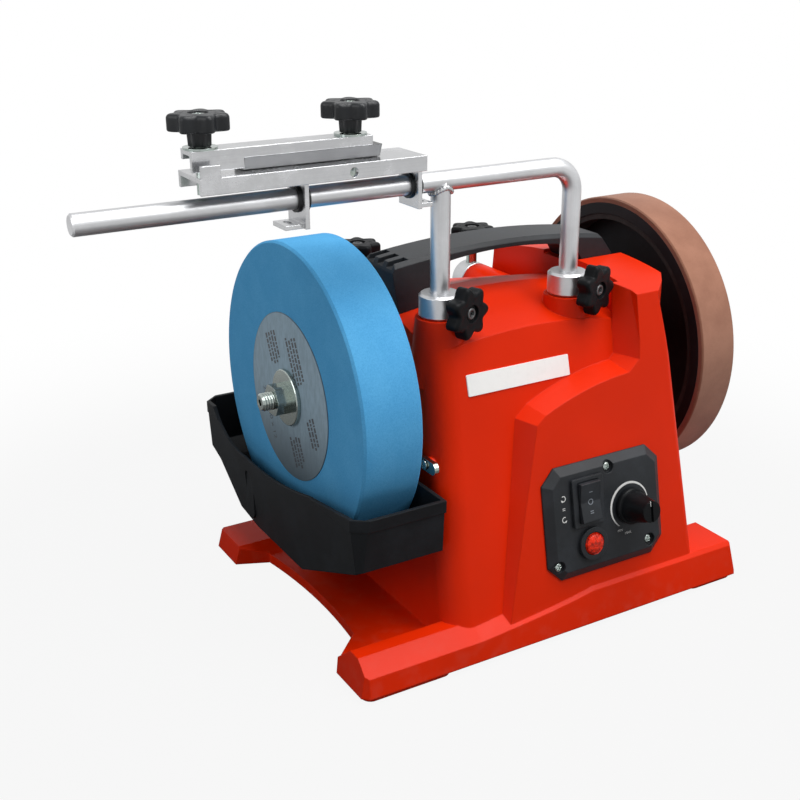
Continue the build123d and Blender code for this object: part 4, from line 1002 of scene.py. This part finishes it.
class SHARPENER_OT_bare_plate(Operator):
    """Plain white plate on the leaning front of the housing"""

    bl_idname = "sharpener.bare_plate"
    bl_label = "Bare plate"

    def execute(self, context):
        colours, sizes, _ = settings(context)
        right_of_stone, up = 117.9 * MM, 164.5 * MM
        before = cad_box[0][1] - 100.0 * MM
        start = (stone_left + right_of_stone, before, up)
        hit, place, normal, _ = frame["nodes"]["housing"].ray_cast(start, (0, 1, 0))
        if not hit:
            raise RuntimeError("The plate found no housing front to sit on")
        corner, soft = 0.8 * MM, 0.25 * MM
        thick = sizes.plate_thickness
        oblong = np.array(((-0.5, -0.5), (0.5, -0.5), (0.5, 0.5), (-0.5, 0.5)))
        rim = rounded(oblong * (sizes.plate_width, sizes.plate_height), corner, count=8)
        # The rim is carried out over the back, up the wall, over the soft edge and in across the face.
        height = np.array((0.0, 0.0, thick - soft, thick, thick, thick))[:, None]
        scale = np.array((0.0, 1.0, 1.0, 0.992, 0.94, 0.0))[:, None]
        local = np.stack(np.broadcast_arrays(scale * rim[:, 0], scale * rim[:, 1], height), axis=2)
        grid = standing(local, np.array(place), facing(np.array(normal)))
        surface("front_plate", [grid], finish(plate_white, colours), "housing")
        return {"FINISHED"}


class SHARPENER_OT_label_marks(Operator):
    """Blocks of short grey lines and the stone's plain measures, printed on the outer label disc"""

    bl_idname = "sharpener.label_marks"
    bl_label = "Label marks"

    def execute(self, context):
        colours, sizes, _ = settings(context)
        turn = radians(-65.0)
        right = np.array((0.0, -cos(turn), sin(turn)))
        up = np.array((0.0, sin(turn), cos(turn)))
        label_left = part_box("stone_labels")[0].x
        origin = np.array((label_left - sizes.print_lift, shaft_y, shaft_z))
        plane = (origin, np.stack([right, up, (-1.0, 0.0, 0.0)]))
        dark = finish(dark_ink, colours)
        spread = np.random.default_rng(7)
        # Middle across, middle up and width in millimetres, and the number of rows
        blocks = ((-34.0, -7.0, 27.0, 4), (-20.0, 22.0, 36.0, 4),
                  (27.0, 25.0, 24.0, 3), (36.0, -5.0, 25.0, 4))
        marks = [mark for block in blocks for mark in self.lines(*block, sizes.text_pitch / MM, spread)]
        ink("label_marks", marks, plane, dark, "spindle")
        letter, place = 6.5 * MM, (6.0 * MM, -36.0 * MM)
        words("label_measures", "200 x 40 x 12", letter, place, plane, dark, "spindle", "label_card")
        return {"FINISHED"}

    def lines(self, across, up, run, rows, pitch, spread):
        """Rows of dashes of uneven length, as print too small to read, with all sizes in millimetres."""
        shortest, longest, most = 1.8, 4.4, 14
        gap, margin = 0.7, 1.0
        tall = 2.6 * MM
        marks = []
        for row in range(rows):
            ends = np.cumsum(spread.uniform(shortest, longest, most))
            ends = ends[ends < run - margin] + across - run / 2.0
            height = (up + (0.5 * (rows - 1) - row) * pitch) * MM
            for left, right in zip(ends[:-1], ends[1:] - gap):
                marks.append(stroke((left * MM, height), (right * MM, height), tall))
        return marks


class SHARPENER_OT_studio(Operator):
    """Pale floor, soft lights and the camera"""

    bl_idname = "sharpener.studio"
    bl_label = "Studio"

    def execute(self, context):
        _, _, studio = settings(context)
        context.scene.view_settings.view_transform = "Standard"
        self.floor(studio.far_floor)
        self.sky(context, studio.sky, studio.backdrop)
        lamps = (("key_light", (0.85, -1.3, 1.5), 1.1, studio.key_power),
                 ("fill_light", (-1.6, -0.2, 1.0), 1.2, studio.fill_power),
                 ("top_light", (0.35, -0.3, 1.85), 1.4, studio.top_power))
        for name, place, size, watts in lamps:
            self.light(name, Vector(place), size, watts)
        self.camera(context, studio.lens)
        return {"FINISHED"}

    def rays(self, owner):
        """Empty an owner's node tree, and give its root and whether a ray comes from the camera, through
        glass or off a polished face."""
        owner.use_nodes = True
        owner.node_tree.nodes.clear()
        root = Tone(owner.node_tree)
        kinds = ("Camera", "Transmission", "Glossy")
        return root, *[root.node("ShaderNodeLightPath", output=f"Is {kind} Ray") for kind in kinds]

    def floor(self, far_floor):
        """Level sheet on a grid of x and y, just under the feet."""
        half_side, count, below = 6.0, 61, 0.2 * MM
        run = np.linspace(-half_side, half_side, count)
        x, y = np.meshgrid(run, run, indexing="ij")
        points = np.stack([x, y, np.full_like(x, -below)], axis=2).reshape(-1, 3)
        mesh = bpy.data.meshes.new("floor")
        mesh.from_pydata(points.tolist(), [], grid_faces(count, count, False, False).tolist())
        mesh.materials.append(self.floor_finish(far_floor))
        floor = linked("floor", mesh)

    def floor_finish(self, far_floor):
        """Matt and shadowed where the machine stands, with painted shade there: a darker grey than the matt floor
        further off. Plain white further off.
        """
        material = bpy.data.materials.new("floor_white")
        material.cycles.emission_sampling = "NONE"
        root, seen, through, mirrored = self.rays(material)
        # Painted shade: the matt grey is darker within 0.3 m of the middle, blending to the far grey by 0.6 m.
        painted_shade_grey, far_grey = (0.2, 0.2, 0.2, 1.0), (0.55, 0.55, 0.55, 1.0)
        shadow = 0.09
        place = root.node("ShaderNodeTexCoord", output="Object")
        reach = root.node("ShaderNodeVectorMath", {"operation": "LENGTH"}, {0: place}, "Value")
        near = root.node("ShaderNodeBsdfDiffuse", None, {"Color": painted_shade_grey})
        far = root.node("ShaderNodeBsdfDiffuse", None, {"Color": far_grey})
        matt = root.node("ShaderNodeMixShader", None, {0: reach.step(0.3, 0.6), 1: near, 2: far})
        white = root.node("ShaderNodeEmission", None, {"Color": (1.0, 1.0, 1.0, 1.0), "Strength": 1.0})
        direct = (seen + through).maths("MINIMUM", 1.0) * (1.0 - shadow + shadow * reach.step(0.3, 0.7))
        share = direct.maths("MAXIMUM", mirrored * far_floor * reach.step(0.45, 0.75))
        both = root.node("ShaderNodeMixShader", None, {0: share, 1: matt, 2: white})
        out = root.tree.nodes.new("ShaderNodeOutputMaterial")
        plug(root.tree, out.inputs["Surface"], both)
        return material

    def sky(self, context, strength, backdrop):
        """Even light from all round, which the camera, glass and polished faces see as white."""
        world = bpy.data.worlds.new("studio_sky")
        context.scene.world = world
        root, seen, through, mirrored = self.rays(world)
        shown = (seen + through + mirrored * backdrop).maths("MINIMUM", 1.0).maths("MAXIMUM", strength)
        back = root.node("ShaderNodeBackground", None, {"Color": (1.0, 1.0, 1.0, 1.0), "Strength": shown})
        out = root.tree.nodes.new("ShaderNodeOutputWorld")
        plug(root.tree, out.inputs["Surface"], back)

    def light(self, name, place, size, watts):
        """Round lamp that looks at the middle of the machine."""
        middle = Vector((0.0, 0.0, 0.14))
        data = bpy.data.lights.new(name, "AREA")
        data.shape = "DISK"
        data.size = size
        data.energy = watts
        lamp = linked(name, data)
        lamp.location = place
        lamp.rotation_euler = (middle - place).to_track_quat("-Z", "Y").to_euler()

    def camera(self, context, lens):
        """Camera at the photograph's place: turned by yaw, then pitched down, then rolled, in radians."""
        left_of_stone, before_shaft, above_bench = 297.48 * MM, 651.45 * MM, 422.35 * MM
        yaw, pitch, roll = 0.5274, 0.3743, -0.0048
        ahead = Vector((cos(pitch) * sin(yaw), cos(pitch) * cos(yaw), -sin(pitch)))
        across = Vector((cos(yaw), -sin(yaw), 0.0))
        upright = across.cross(ahead)
        right = cos(roll) * across + sin(roll) * upright
        up = cos(roll) * upright - sin(roll) * across
        data = bpy.data.cameras.new("camera")
        data.lens = lens
        data.sensor_width = 36.0
        data.clip_end = 50.0
        camera = linked("camera", data)
        place = Vector((stone_left - left_of_stone, shaft_y - before_shaft, above_bench))
        looking = Matrix((right, up, -ahead)).transposed()
        camera.matrix_world = Matrix.Translation(place) @ looking.to_4x4()
        context.scene.camera = camera


class SHARPENER_PT_pieces(Panel):
    """Sidebar list of the steps that dress the machine"""

    bl_idname = "SHARPENER_PT_pieces"
    bl_label = "Wet sharpening machine"
    bl_space_type = "VIEW_3D"
    bl_region_type = "UI"
    bl_category = "Sharpener"

    def draw(self, context):
        for step in steps:
            self.layout.operator(step.bl_idname)
        for group in settings(context):
            box = self.layout.box()
            for name in group.__annotations__:
                box.prop(group, name)


property_groups = {
    "sharpener_colours": SharpenerColours,
    "sharpener_sizes": SharpenerSizes,
    "sharpener_studio": SharpenerStudio,
}
steps = (
    SHARPENER_OT_finish_solids, SHARPENER_OT_main_shaft, SHARPENER_OT_star_knobs, SHARPENER_OT_speed_dial,
    SHARPENER_OT_switch_marks, SHARPENER_OT_reset_cap, SHARPENER_OT_screw_heads, SHARPENER_OT_weld_bead,
    SHARPENER_OT_bare_plate, SHARPENER_OT_label_marks, SHARPENER_OT_studio,
)
classes = (*property_groups.values(), *steps, SHARPENER_PT_pieces)


def register():
    for kind in classes:
        bpy.utils.register_class(kind)
    for name, group in property_groups.items():
        setattr(bpy.types.Scene, name, PointerProperty(type=group))


def unregister():
    for name in property_groups:
        delattr(bpy.types.Scene, name)
    for kind in reversed(classes):
        bpy.utils.unregister_class(kind)


def main():
    register()
    for step in steps:
        area, name = step.bl_idname.split(".")
        getattr(getattr(bpy.ops, area), name)()


if __name__ == "__main__":
    main()
